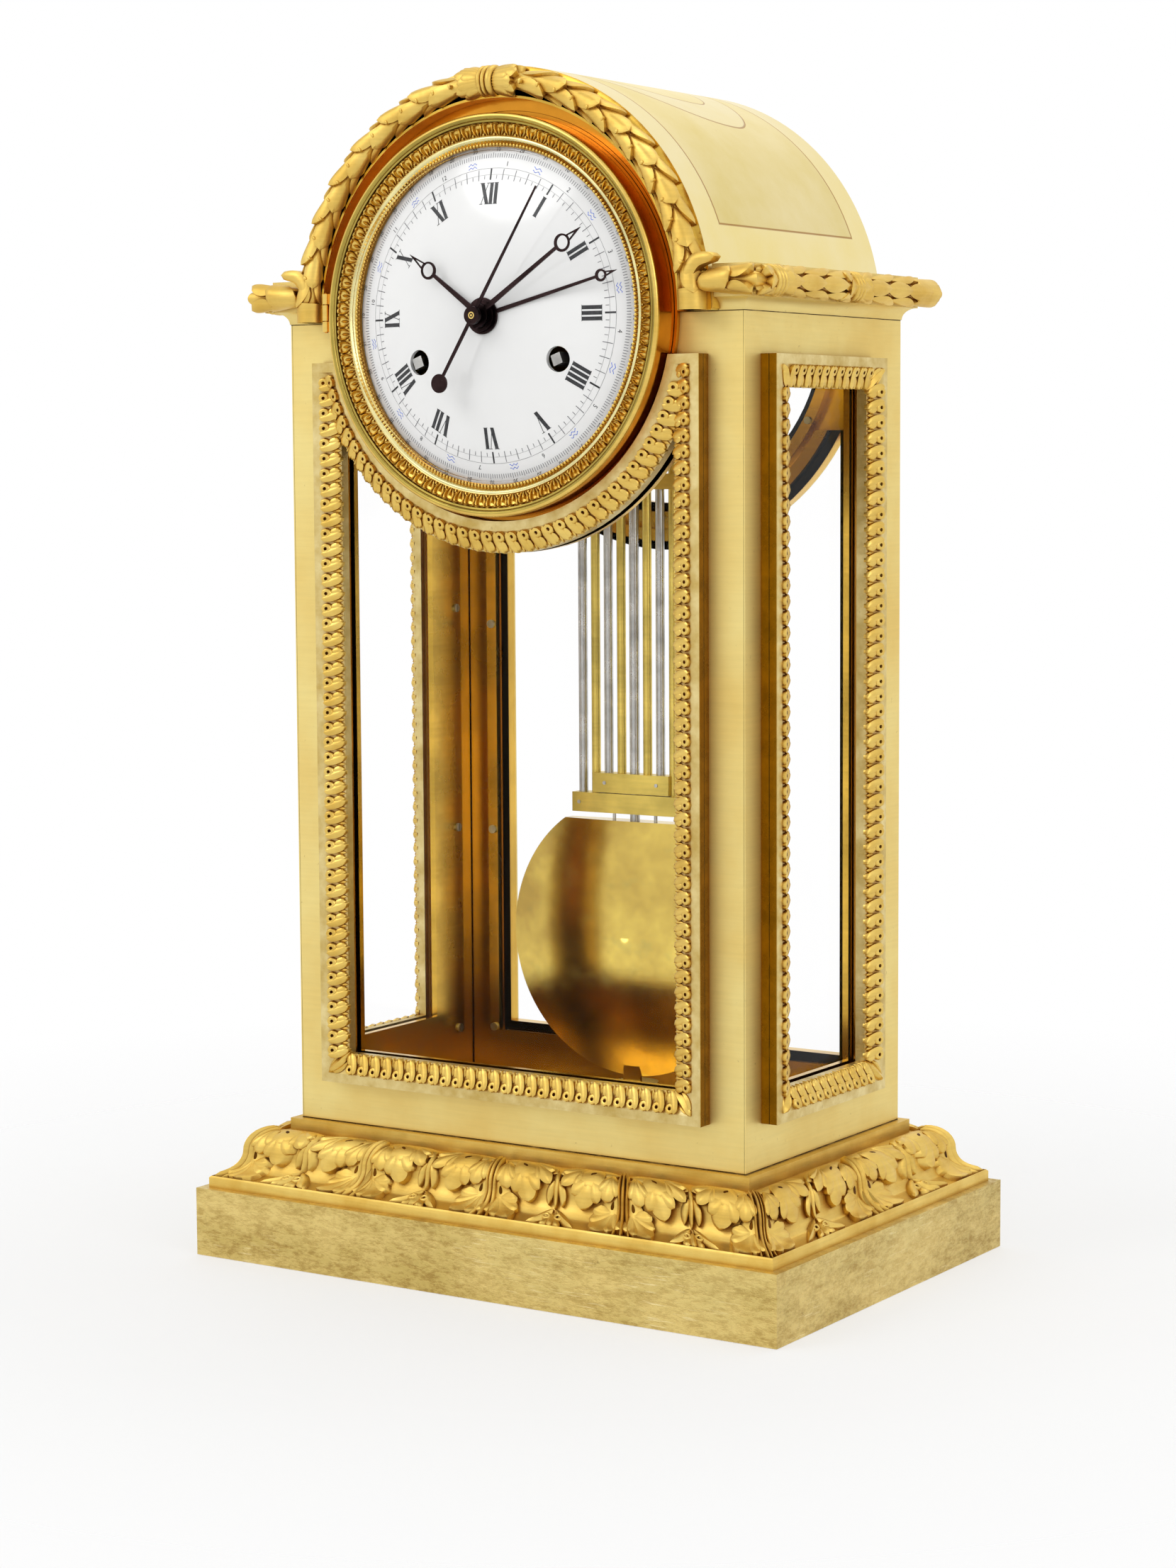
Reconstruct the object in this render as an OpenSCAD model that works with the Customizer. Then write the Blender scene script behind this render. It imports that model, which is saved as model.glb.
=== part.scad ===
// Mantel regulator clock: glazed brass case, enamel annual calendar dial, gridiron pendulum.
// Millimetres. X to the right, Y to the back, Z up, origin under the middle of the plinth.

/* [Case] */
// Width of the body
body_w = 180; // [150:1:216]
// Depth of the body
body_d = 104.7; // [98:0.1:126]
// Height of the body walls, up to the spring of the arch
body_h = 275.7; // [262:0.1:320]
// Thickness of the case walls
wall = 3.5; // [3:0.1:4.2]
// Distance from the edge of the body to the outside of the vault
shoulder = 9.4; // [7:0.1:11.3]
// Thickness of the vault sheet
vault_t = 2; // [1.6:0.1:2.4]
// How far the vault stands proud of the body at the front
vault_proud = 4.6; // [4:0.1:5.5]

/* [Base] */
// Height of the plinth slab
plinth_h = 23.7; // [18:0.1:30]
// How far the plinth stands out from the body
plinth_out = 26.7; // [25:0.1:32]
// Height of the base moulding
base_h = 23.3; // [19:0.1:28]
// Thickness of the case floor
floor_t = 2; // [1.6:0.1:2.4]

/* [Cornice] */
// Height of the cornice
cornice_h = 14.3; // [12:0.1:17]
// Radius of the laurel torus
torus_r = 4.75; // [4:0.05:5]
// How far the torus stands out from the body
torus_out = 12.7; // [11:0.1:15]

/* [Dial] */
// Radius of the enamel dial
dial_r = 58; // [57.5:0.1:58.2]
// Radius of the sphere that the dial face follows
dial_dome = 208; // [180:1:250]
// How far the middle of the dial stands in front of the body
dial_front = 13.9; // [13:0.1:14.4]
// Thickness of the enamelled copper
dial_t = 1.5; // [1:0.1:1.8]
// Distance of the winding arbors from the middle of the dial, sideways
wind_x = 27.4; // [26:0.1:29]
// Distance of the winding arbors below the middle of the dial
wind_z = 14.4; // [13:0.1:17]
// Diameter of the winding holes
wind_hole = 8.3; // [7:0.1:9]

/* [Bezel] */
// Outer radius of the bezel
bezel_r = 65.2; // [64.5:0.1:65.8]
// Sight radius of the bezel
sight_r = 54.5; // [53:0.1:55.5]
// How far the bezel stands in front of the body
bezel_front = 11.85; // [11:0.1:12.4]
// Radius of the rounded edge of the bezel glass
glass_edge = 17.4; // [17.2:0.1:17.6]

/* [Windows] */
// Distance from the edge of the body to the front frame
front_margin = 13.4; // [11:0.1:16]
// Distance from the base moulding to the front frame
frame_low = 15.2; // [12:0.1:18]
// Distance from the spring of the arch down to the top of the frames
frame_high = 13.5; // [12:0.1:16]
// Thickness of a window frame
frame_t = 6; // [5:0.1:7]
// Width of the flat border of a frame
border_w = 3.2; // [2.6:0.1:3.8]
// Width of the leaf band of a frame
band_w = 7.1; // [6:0.1:8]
// How far the leaf band drops towards the glass
band_drop = 2.4; // [1.6:0.1:3]
// Distance from the front of the body to the side frames
side_front = 9.95; // [8:0.05:12]
// Distance from the side frames to the back of the body
side_back = 20.75; // [17:0.05:24]
// Thickness of the window glass
glass_t = 2.5; // [2:0.1:2.9]
// Thickness of the glazing strips
strip_t = 2.2; // [1.8:0.1:2.6]

/* [Rear door] */
// Thickness of the rear door
door_t = 4.85; // [4:0.05:5.8]
// Radius of the round window of the door
door_round_r = 62; // [55:0.5:64]
// Half width of the lower window of the door
door_window_x = 69; // [60:0.5:72]

/* [Pendulum] */
// Distance from the front of the movement's back plate to the pendulum
pend_gap = 23.4; // [21:0.1:25]
// Height of the bending point of the spring above the dial centre
hang_z = 51.3; // [50:0.1:52.5]
// Distance between neighbouring rods
rod_pitch = 5.37; // [4.8:0.01:5.8]
// Diameter of the outer rods
rod_d = 3.2; // [2.8:0.1:3.6]
// Diameter of the centre rod
centre_rod_d = 3.5; // [3:0.1:3.8]
// Radius of the bob
bob_r = 49.7; // [42:0.1:55]
// Thickness of the bob at its rim
bob_rim = 4.8; // [4:0.1:6]
// Thickness of the bob in the middle
bob_t = 15; // [11:0.1:18]
// Height of the bottom of the bob above the top of the base
bob_lift = 11.5; // [9:0.1:19]
// Radius of the rating nut
nut_r = 8.05; // [7:0.05:9]

/* [Movement] */
// Radius of the movement plates
plate_r = 54; // [53.5:0.1:56]
// Thickness of the movement plates
plate_t = 2.5; // [2:0.1:3]
// Distance between the movement plates
plate_gap = 45; // [44:0.5:46]
// Radius of the mainspring barrels
barrel_r = 16.5; // [13:0.1:17]
// Thickness of a train wheel
wheel_t = 1.2; // [1:0.1:1.4]

/* [Hidden] */
$fn = 96;
fit = 0.05;
gap = 0.3;
eps = 0.01;

base_z = plinth_h + base_h;
dial_z = base_z + body_h;
half_w = body_w / 2;
half_d = body_d / 2;
front_y = -half_d;
inner_x = half_w - wall;
inner_y = front_y + wall;
vault_r = half_w - shoulder;
vault_in = vault_r - vault_t;
vault_front = front_y - vault_proud;
vault_back = half_d + 3.7;
door_clear = 0.4;
door_in = half_d - door_t;

well_r = bezel_r + 1.4;
recess_y = front_y - 1.65;
seat_hole = 60;
seat_r = well_r - gap;
laurel_in = well_r + border_w + 0.4;

frame_z0 = base_z + frame_low;
frame_z1 = dial_z - frame_high;
frame_x = half_w - front_margin;
open_in = border_w + band_w;
// Keeps the corners of a window opening off the mitre lines of its frame
corner_off = 0.1;
side_y0 = front_y + side_front;
side_y1 = half_d - side_back;
rebate = 2;

dial_apex = front_y - dial_front;
plate_y = inner_y + 2.85;
back_y = plate_y + plate_t + plate_gap;
pend_y = back_y + pend_gap;
gold = "#d9b24c";
pale_gold = "#e3c876";
amber = "#b5801f";
steel = "#9aa0a6";
blued = "#2c2a3c";
glass_tint = "#dfeef0";

// Where two circles meet, on the left of the line from a to b
function meet(a, ra, b, rb) =
    let (d = norm(b - a), u = (b - a) / d, s = (ra * ra - rb * rb + d * d) / (2 * d),
         h = sqrt(ra * ra - s * s))
    a + s * u + h * [-u[1], u[0]];

train_m = 0.4;
third_m = 0.35;
pin_m = 0.45;
great_teeth = 96;
pinion_teeth = 12;
wheel_teeth = 60;
minute_teeth = 80;
third_teeth = 75;
leaf_teeth = 10;
lock_teeth = 56;
fly_leaves = 8;
cannon_teeth = 14;
motion_teeth = 42;
motion_leaves = 12;
hour_teeth = 48;
setting_teeth = 30;
calendar_teeth = 73;
great_d = (great_teeth + pinion_teeth) * train_m / 2;
wheel_d = (wheel_teeth + pinion_teeth) * pin_m / 2;
minute_d = (minute_teeth + leaf_teeth) * third_m / 2;
third_d = (third_teeth + leaf_teeth) * third_m / 2;
lock_d = (wheel_teeth + leaf_teeth) * pin_m / 2;
fly_d = (lock_teeth + fly_leaves) * train_m / 2;
motion_d = (cannon_teeth + motion_teeth) * train_m / 2;
hour_m = 2 * motion_d / (motion_leaves + hour_teeth);
setting_d = setting_teeth * train_m;
minute_r = 18;

// Turn of wheel b, so that its teeth enter the gaps of wheel a: places, tooth counts, turn of a
function mesh_turn(a, teeth_a, turn_a, b, teeth_b) =
    let (phi = atan2(b[1] - a[1], b[0] - a[0]), f = (phi - turn_a) * teeth_a / 360)
    phi + 180 - (0.5 - f) * 360 / teeth_b;

// Arbors, seen from the front, measured from the middle of the dial
going_at = [wind_x, -wind_z];
strike_at = [-wind_x, -wind_z];
minute_at = minute_r * [cos(60), sin(60)];
idler_at = meet(minute_at, setting_d, [0, 0], setting_d);
second_at = meet(minute_at, wheel_d, going_at, great_d);
third_at = meet([0, 0], third_d, minute_at, minute_d);
pin_at = strike_at + great_d * [-sin(9.6), cos(9.6)];
lock_at = pin_at + lock_d * [cos(48), sin(48)];
fly_at = lock_at + fly_d * [cos(54), sin(54)];
motion_at = [-motion_d, 0];
third_turn = mesh_turn([0, 0], leaf_teeth, 0, third_at, third_teeth);
minute_turn = mesh_turn(third_at, leaf_teeth, 0, minute_at, minute_teeth);
second_turn = mesh_turn(minute_at, pinion_teeth, 0, second_at, wheel_teeth);
going_turn = mesh_turn(second_at, pinion_teeth, 0, going_at, great_teeth);
idler_turn = mesh_turn(minute_at, setting_teeth, 0, idler_at, setting_teeth);
cannon_turn = mesh_turn(idler_at, setting_teeth, idler_turn, [0, 0], setting_teeth);
motion_turn = mesh_turn([0, 0], cannon_teeth, 0, motion_at, motion_teeth);
hour_turn = mesh_turn(motion_at, motion_leaves, 0, [0, 0], hour_teeth);
pin_turn = mesh_turn(strike_at, great_teeth, 0, pin_at, pinion_teeth);
lock_turn = mesh_turn(pin_at, wheel_teeth, 0, lock_at, leaf_teeth);
fly_turn = mesh_turn(lock_at, lock_teeth, 0, fly_at, fly_leaves);
hang_at = [0, hang_z];
hammer_at = [-46, 14];
pillar_at = [[34.3, 34.3], [-34.3, 34.3], [30.5, -37.7], [-30.5, -37.7]];

great_y = back_y - 13.5;
drum_y0 = plate_y + plate_t + 5;
drum_y1 = great_y - 1;
wheel_y = back_y - 9.5;
minute_y = back_y - 20.5;
third_y = back_y - 31;
lock_y = back_y - 25;
pin_wheel_y = back_y + plate_t + 6;
pin_ring_r = 25;
seconds_r = 0.75;
cannon_r = 1.5;
hour_r = 2.4;
calendar_r = 3.3;
hub_hole_r = 3.6;
seconds_y = front_y - 20.2;
minute_hand_y = front_y - 17.9;
hour_hand_y = front_y - 15.9;
calendar_hand_y = front_y - 14.75;
setting_y = plate_y - 2.5;
motion_y = plate_y - 5;
hour_y = plate_y - 8;
calendar_y = plate_y - 11;

hang_abs = dial_z + hang_z;
bob_z = base_z + bob_lift + bob_r;
bob_top = bob_z + 41.1;
bar_y = 1.55;
low_bar_z = bob_top + 2.5;
bar_h = 6.9;
small_bar_z = low_bar_z + bar_h + 0.3;
high_bar_z = dial_z - 56.9;
high_bar_h = 5.4;
nut_z = bob_z - bob_r - 5;
nut_h = 2.5;

// Cylinder along Y, from y0 to y1
module ycyl(r, y0, y1, at = [0, 0], hole = 0) {
    translate([at[0], y1, dial_z + at[1]]) rotate([90, 0, 0])
        difference() {
            cylinder(r = r, h = y1 - y0);
            if (hole > 0) translate([0, 0, -1]) cylinder(r = hole, h = y1 - y0 + 2);
        }
}

// Flat shape drawn as seen from the front, made solid from y0 to y1
module yplate(y0, y1, z = dial_z) {
    translate([0, y1, z]) rotate([90, 0, 0]) linear_extrude(y1 - y0) children();
}

// Ring about the dial axis, from an outline of [radius, y] points
module dial_ring() {
    translate([0, 0, dial_z]) rotate([-90, 0, 0]) rotate_extrude() children();
}

module box(lo, hi) {
    translate(lo) cube(hi - lo);
}

// Solid with a mitred moulding on all four sides, its outline given for a body of width w
module mitred() {
    intersection() {
        translate([0, 150, 0]) rotate([90, 0, 0]) linear_extrude(300)
            mitre_outline(half_w) children();
        translate([-180, 0, 0]) rotate([90, 0, 90]) linear_extrude(360)
            mitre_outline(half_d) children();
    }
}

module mitre_outline(half) {
    for (s = [0, 1]) mirror([s, 0]) translate([half, 0]) children();
}

// Toothed wheel outline
module teeth(n, m) {
    step = 360 / n;
    pitch_r = n * m / 2;
    root = pitch_r - 1.15 * m;
    tip = pitch_r + 0.85 * m;
    polygon([for (i = [0:n - 1]) for (p = [[-0.27, root], [-0.11, tip], [0.11, tip], [0.27, root]])
        p[1] * [cos((i + p[0]) * step), sin((i + p[0]) * step)]]);
}

// Wheel with a toothed rim, arms and a hub
module wheel(n, m, y0, at, turn = 0, t = wheel_t, hub = 2.6, hole = 0, arms = 4) {
    rim = n * m / 2 - 2.1;
    yplate(y0, y0 + t) translate(at) rotate(turn) difference() {
        teeth(n, m);
        if (rim > hub + 2) difference() {
            circle(r = rim);
            circle(r = hub);
            for (a = [0:arms - 1]) rotate(a * 360 / arms) translate([0, -0.7]) square([rim + 1, 1.4]);
        }
        if (hole > 0) circle(r = hole);
    }
}

module pinion(n, m, y0, y1, at, turn = 0) {
    yplate(y0, y1) translate(at) rotate(turn) teeth(n, m);
}

// Arbor between the plates, with thinner pivots in them
module arbor(at, r = 0.9) {
    y0 = plate_y + plate_t + 0.1;
    y1 = back_y - 0.1;
    ycyl(r, y0, y1, at);
    ycyl(0.5, plate_y + 0.2, y0 + eps, at);
    ycyl(0.5, y1 - eps, back_y + plate_t - 0.2, at);
}

module plinth() {
    color(amber) box([-half_w - plinth_out, -half_d - plinth_out, 0],
        [half_w + plinth_out, half_d + plinth_out, plinth_h]);
}

// Band of a mitred outline from z0 to z1, reaching out past the body
module slab(z0, z1, out) {
    translate([-half_w, z0]) square([half_w + out, z1 - z0]);
}

// Upside-down ogee between two fillets
module base_outline() {
    low = 4.1;
    top = 3.4;
    shoulder_r = 7.5;
    foot_out = 23.5;
    top_out = 3;
    crest_out = 6.5;
    hollow_r = base_h - low - top - shoulder_r + 0.2;
    crest = base_h - top;
    bend_out = crest_out + shoulder_r;
    slab(0, low, foot_out);
    slab(0, base_h, top_out);
    translate([crest_out, crest - shoulder_r]) circle(r = shoulder_r);
    slab(0, crest, crest_out);
    difference() {
        square([bend_out + hollow_r, low + hollow_r]);
        translate([bend_out + hollow_r, low + hollow_r]) circle(r = hollow_r);
    }
}

module base_moulding() {
    color(pale_gold) translate([0, 0, plinth_h]) mitred() base_outline();
}

module case_floor() {
    color(amber) box([-inner_x, inner_y, base_z], [inner_x, door_in - gap, base_z + floor_t]);
}

// Front window opening with its round top, grown by d
module front_opening(d = 0) {
    difference() {
        translate([-frame_x + open_in - d, frame_z0 + open_in - corner_off - d - dial_z])
            square([2 * (frame_x - open_in + d), frame_z1 - frame_z0 + 20]);
        circle(r = well_r + open_in + corner_off - d);
        translate([-half_w, frame_z1 - dial_z - border_w]) square([body_w, 60]);
    }
}

module front_wall() {
    color(pale_gold) yplate(front_y, inner_y) difference() {
        translate([-half_w, -body_h]) square([body_w, body_h]);
        circle(r = seat_hole);
        front_opening(rebate);
    }
}

// Side window opening as seen along X, grown by d
module side_opening(d = 0) {
    low = frame_z0 + open_in - corner_off - d;
    translate([side_y0 + open_in - d, low])
        square([side_y1 - side_y0 - 2 * (open_in - d), frame_z1 + frame_z0 - 2 * low]);
}

module xplate(x0, x1) {
    translate([x0, 0, 0]) rotate([90, 0, 90]) linear_extrude(x1 - x0) children();
}

module both_sides() {
    for (s = [0, 1]) mirror([s, 0, 0]) children();
}

module side_walls() {
    color(pale_gold) both_sides() xplate(inner_x, half_w) difference() {
        translate([inner_y, base_z]) square([body_d - wall, body_h]);
        side_opening(rebate);
    }
}

cornice_out = 4.3;

// Hollow under the torus, block behind it and fillet on top
module cornice_outline() {
    cove = 4;
    difference() {
        slab(0, cornice_h, cornice_out);
        translate([cornice_out, 0]) circle(r = cove);
    }
}

module cornice_cut() {
    ycyl(vault_r + 0.1, -200, 200);
    box([-vault_r, -200, dial_z - 1], [vault_r, 0, dial_z + cornice_h + 1]);
    box([-half_w + 2.5, door_in - gap, dial_z - 1], [half_w - 2.5, 200, dial_z + cornice_h + 1]);
}

module cornice() {
    color(pale_gold) difference() {
        translate([0, 0, dial_z]) mitred() cornice_outline();
        cornice_cut();
    }
}

module laurel_torus() {
    rise = 8.8;
    color(gold) difference() {
        translate([0, 0, dial_z]) mitred() {
            slab(rise - torus_r, rise + torus_r, torus_out - torus_r);
            translate([torus_out - torus_r, rise]) circle(r = torus_r);
        }
        translate([0, 0, dial_z]) mitred() slab(-1, cornice_h + 1, cornice_out);
        cornice_cut();
    }
}

module upper_half() {
    intersection() {
        children();
        box([-200, -200, dial_z], [200, 200, dial_z + 200]);
    }
}

module arch_front() {
    color(pale_gold) upper_half() dial_ring() polygon([
        [seat_hole, inner_y], [vault_in - 0.05, inner_y], [vault_in - 0.05, recess_y],
        [well_r - 0.1, recess_y], [well_r - 0.1, front_y], [seat_hole, front_y]]);
}

// Ring that backs the laurel arch, hollowed at its outer edge
module arch_moulding() {
    depth = 3.5;
    cove = 3.5;
    color(amber) upper_half() dial_ring() difference() {
        polygon([[laurel_in, recess_y], [vault_in - 0.05, recess_y], [vault_in - 0.05, vault_front],
            [vault_r - 0.1, vault_front], [vault_r - 0.1, vault_front - depth],
            [laurel_in, vault_front - depth]]);
        translate([vault_r - 0.1, vault_front - depth]) circle(r = cove);
    }
}

module laurel_arch() {
    tube_r = 5;
    clasp_r = 5.5;
    ring_r = vault_r - 5.1;
    tube_y = vault_front - 3.2;
    clasp_a = 3.2;
    color(gold) difference() {
        union() {
            upper_half() dial_ring() translate([ring_r, tube_y]) circle(r = tube_r);
            intersection() {
                dial_ring() translate([ring_r, tube_y]) circle(r = clasp_r);
                translate([0, 0, dial_z]) box([-ring_r * sin(clasp_a), -100, 0],
                    [ring_r * sin(clasp_a), 0, 2 * vault_r]);
            }
        }
        dial_ring() polygon([[laurel_in, 0], [vault_r + 2, 0], [vault_r + 2, vault_front],
            [vault_r - 3.6, vault_front - 3.5], [laurel_in, vault_front - 3.5]]);
    }
}

module vault() {
    color(pale_gold) upper_half() ycyl(vault_r, vault_front, vault_back, [0, 0], vault_in);
}

// Part of a window frame that is cut away in front of its leaf band, for a leg of half width half
module band_roof(half) {
    polygon([[-half, -frame_t - 1], [half, -frame_t - 1], [half, -frame_t],
        [0, -frame_t + half * band_drop / band_w], [-half, -frame_t]]);
}

module front_frame() {
    in_x = frame_x - border_w;
    low_z = frame_z0 + border_w;
    slope = band_drop / band_w;
    color(gold) difference() {
        yplate(front_y - frame_t, front_y) difference() {
            translate([-frame_x, frame_z0 - dial_z]) square([2 * frame_x, frame_z1 - frame_z0]);
            circle(r = well_r);
        }
        yplate(front_y - frame_t - 1, front_y + 1) front_opening();
        intersection() {
            translate([0, front_y, low_z]) linear_extrude(frame_z1 - border_w - low_z) band_roof(in_x);
            translate([-in_x, front_y, low_z]) rotate([90, 0, 90]) linear_extrude(2 * in_x)
                polygon([[-frame_t - 1, 0], [-frame_t, 0], [-frame_t + 200 * slope, 200],
                    [-frame_t + 200 * slope, 400], [-frame_t - 1, 400]]);
            difference() {
                box([-in_x, front_y - frame_t - 1, low_z], [in_x, front_y, frame_z1 - border_w]);
                dial_ring() polygon([[0, front_y - frame_t - 2], [well_r + border_w, front_y - frame_t - 2],
                    [well_r + border_w, front_y - frame_t], [well_r + border_w + 300, front_y - frame_t
                    + 300 * slope], [0, front_y - frame_t + 300 * slope]]);
            }
        }
    }
}

module side_frames() {
    mid_y = (side_y0 + side_y1) / 2;
    half_y = (side_y1 - side_y0) / 2 - border_w;
    mid_z = (frame_z0 + frame_z1) / 2;
    half_z = (frame_z1 - frame_z0) / 2 - border_w;
    color(gold) both_sides() difference() {
        xplate(half_w, half_w + frame_t) difference() {
            translate([side_y0, frame_z0]) square([side_y1 - side_y0, frame_z1 - frame_z0]);
            side_opening();
        }
        intersection() {
            translate([half_w, mid_y, mid_z - half_z]) linear_extrude(2 * half_z)
                rotate(90) band_roof(half_y);
            translate([half_w, mid_y + half_y, mid_z]) rotate([90, 0, 0]) linear_extrude(2 * half_y)
                rotate(90) band_roof(half_z);
        }
    }
}

module window_glasses() {
    color(glass_tint, 0.3) {
        yplate(inner_y - glass_t, inner_y) front_opening(rebate - 0.2);
        both_sides() xplate(inner_x, inner_x + glass_t) side_opening(rebate - 0.2);
    }
}

strip_w = 7;

// Strips inside the case that hold the window glass
module glazing_strips() {
    front_w = 2 * (frame_x - open_in + strip_w);
    front_h = frame_z1 - frame_z0 - open_in + strip_w - 2;
    color(amber) {
        yplate(inner_y, inner_y + strip_t) difference() {
            translate([-front_w / 2, frame_z0 + open_in - strip_w - dial_z]) square([front_w, front_h]);
            circle(r = plate_r + 11);
            front_opening();
        }
        both_sides() xplate(inner_x - strip_t, inner_x) difference() {
            translate([side_y0 + 1, frame_z0 + 2])
                square([side_y1 - side_y0 + 6, frame_z1 - frame_z0 - 4]);
            side_opening();
        }
    }
}

// Countersunk screws that hold the glazing strips
module glazing_screws() {
    screw_r = 1.5;
    proud = 0.8;
    z_at = [frame_z0 + 4, frame_z0 + 79, frame_z0 + 160, frame_z1 - 5];
    color(steel) {
        for (s = [0, 1], z = z_at) mirror([s, 0, 0])
            for (y = [side_y0 + 5, side_y1 + 3.9]) translate([inner_x - strip_t - proud, y, z])
                rotate([0, 90, 0]) difference() {
                    cylinder(r = screw_r, h = proud);
                    translate([-screw_r - 1, -0.25, -1]) cube([2 * screw_r + 2, 0.5, 1.4]);
                }
        for (s = [-1, 1], z = [z_at[0], z_at[1], z_at[2]])
            translate([s * (frame_x - open_in + strip_w - 2.5), inner_y + strip_t, z])
                rotate([-90, 0, 0]) difference() {
                    cylinder(r = screw_r, h = proud);
                    translate([-screw_r - 1, -0.25, 0.4]) cube([2 * screw_r + 2, 0.5, 1.4]);
                }
    }
}

// Ring that the bezel shuts against and that holds the edge of the dial
module bezel_seat() {
    collar = dial_r + 0.3;
    lip = 1.2;
    rise = 4.25;
    color(gold) dial_ring() polygon([
        [collar, front_y - rise], [collar + lip, front_y - rise], [collar + lip, recess_y],
        [seat_r, recess_y], [seat_r, front_y], [collar, front_y]]);
}

// Axis of the bezel hinge, the height of one of its knuckles and the radius of its pin
hinge_x = -bezel_r - 2.2;
hinge_y = front_y - 9.65;
hinge_low = dial_z - 3.3;
knuckle_r = 1.4;
knuckle_h = 3.4;
knuckle_step = 9.2;
pin_r = 0.6;

module bezel() {
    back = recess_y - gap;
    front = front_y - bezel_front;
    edge = 1.1;
    bead_r = 0.6;
    color(gold) difference() {
        union() {
            dial_ring() {
                polygon([[sight_r, front + 5], [sight_r + 3, front + 5], [sight_r + 6.4, front + 3.5],
                    [bezel_r - 2, front + 4.5], [bezel_r - 2, back], [bezel_r, back],
                    [bezel_r, front + edge], [bezel_r - 2.3, front + 0.5], [bezel_r - 3, front + 1.6],
                    [sight_r + 3.2, front + 2.3], [sight_r + 1.6, front + 2.9],
                    [sight_r + 1.2, front + 3.6], [sight_r, front + 3.6]]);
                translate([bezel_r - edge, front + edge]) circle(r = edge);
                translate([sight_r + 0.7, front + 3.3]) circle(r = bead_r);
            }
            for (z = [0, knuckle_step]) translate([hinge_x, hinge_y, hinge_low + z]) {
                cylinder(r = knuckle_r, h = knuckle_h);
                translate([0, -pin_r, 0]) cube([-hinge_x - bezel_r + 0.9, 2 * pin_r, knuckle_h]);
            }
        }
        translate([hinge_x, hinge_y, hinge_low - 5]) cylinder(r = pin_r + fit, h = 30);
    }
}

// Knuckle that stands on the floor of the recess, with the pin that the bezel turns on
module bezel_hinge() {
    low = hinge_low + knuckle_h + gap;
    high = hinge_low + knuckle_step - gap;
    color(gold) {
        translate([hinge_x, hinge_y, low]) cylinder(r = knuckle_r, h = high - low);
        box([hinge_x - 1, hinge_y, low], [hinge_x + 0.6, recess_y, high]);
        translate([hinge_x, hinge_y, hinge_low - gap])
            cylinder(r = pin_r, h = knuckle_step + knuckle_h + 2 * gap);
    }
}

// Half section of the bezel glass, filled in, d inside its outer surface
module glass_section(rim_r, rim_y, d) {
    edge_at = rim_r - glass_edge;
    translate([edge_at, rim_y]) circle(r = glass_edge - d, $fn = 192);
    translate([0, rim_y - glass_edge + d]) square([edge_at, glass_edge]);
    translate([0, rim_y]) square([rim_r - d, glass_edge]);
}

// Glass that stands over the hands, its rim held in the sight edge of the bezel
module bezel_glass() {
    rim_r = sight_r - 0.03;
    rim_y = front_y - bezel_front + 4;
    thick = 1;
    rim_h = 0.6;
    color(glass_tint, 0.3) dial_ring() intersection() {
        difference() {
            glass_section(rim_r, rim_y, 0);
            glass_section(rim_r, rim_y, thick);
        }
        translate([0, rim_y - 2 * glass_edge]) square([rim_r + 1, 2 * glass_edge + rim_h]);
    }
}

// Half section of a domed shell: apex, radius of the dome, thickness, rim radius, back of the rim
module domed_shell(apex, dome, thick, rim_r, rim_y) {
    intersection() {
        translate([0, apex + dome]) difference() {
            circle(r = dome, $fn = 720);
            circle(r = dome - thick, $fn = 720);
        }
        translate([0, apex - 1]) square([rim_r, rim_y - apex + 1]);
    }
}

module dial() {
    color("white") difference() {
        union() {
            dial_ring() domed_shell(dial_apex, dial_dome, dial_t, dial_r, dial_apex + 20);
            for (a = [45:90:315]) ycyl(1.4, dial_apex + dial_t + 3.5, plate_y, 41 * [cos(a), sin(a)]);
        }
        ycyl(hub_hole_r, -200, 0);
        for (at = [going_at, strike_at]) ycyl(wind_hole / 2, -200, 0, at);
    }
}

// Outline of the rear door as seen from the front, set in by d
module door_outline(d = 0) {
    translate([-inner_x + d, base_z + floor_t - dial_z + d])
        square([2 * (inner_x - d), body_h - floor_t - d]);
    circle(r = vault_in - d);
}

module door_window(d = 0) {
    low = base_z + 21.5 - dial_z - d;
    intersection() {
        difference() {
            translate([-door_window_x - d, low]) square([2 * (door_window_x + d), -low - 20]);
            circle(r = door_round_r + 16.6 - d);
        }
        translate([-half_w, -body_h]) square([body_w, body_h - 37]);
    }
}

module door_knuckles(z0) {
    translate([rear_x, rear_y, z0]) {
        cylinder(r = 1.8, h = 6);
        translate([0, 0, 12.6]) cylinder(r = 1.8, h = 6);
    }
    for (z = [z0, z0 + 12.6])
        box([rear_x, half_d, z], [rear_x + 9, half_d + 1.2, z + 6]);
}

rear_x = -half_w + 2;
rear_y = half_d + 2.05;
rear_z = [base_z + 40, dial_z - 60];

module rear_door() {
    color(gold) difference() {
        union() {
            yplate(door_in, half_d) difference() {
                door_outline(door_clear);
                circle(r = door_round_r);
                door_window();
            }
            for (z = rear_z) door_knuckles(z);
        }
        for (z = rear_z) translate([rear_x, rear_y, z - 1]) cylinder(r = 0.8 + fit, h = 22);
    }
}

// Fixed knuckles and pins of the rear door
module rear_hinges() {
    color(gold) for (z = rear_z) {
        difference() {
            union() {
                translate([rear_x, rear_y, z + 6.3]) cylinder(r = 1.8, h = 6);
                box([rear_x - 1.8, half_d, z + 6.3], [rear_x, rear_y, z + 12.3]);
            }
            translate([rear_x, rear_y, z]) cylinder(r = 0.8, h = 20);
        }
        translate([rear_x, rear_y, z - 0.8]) cylinder(r = 0.8, h = 20.2);
    }
}

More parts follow.
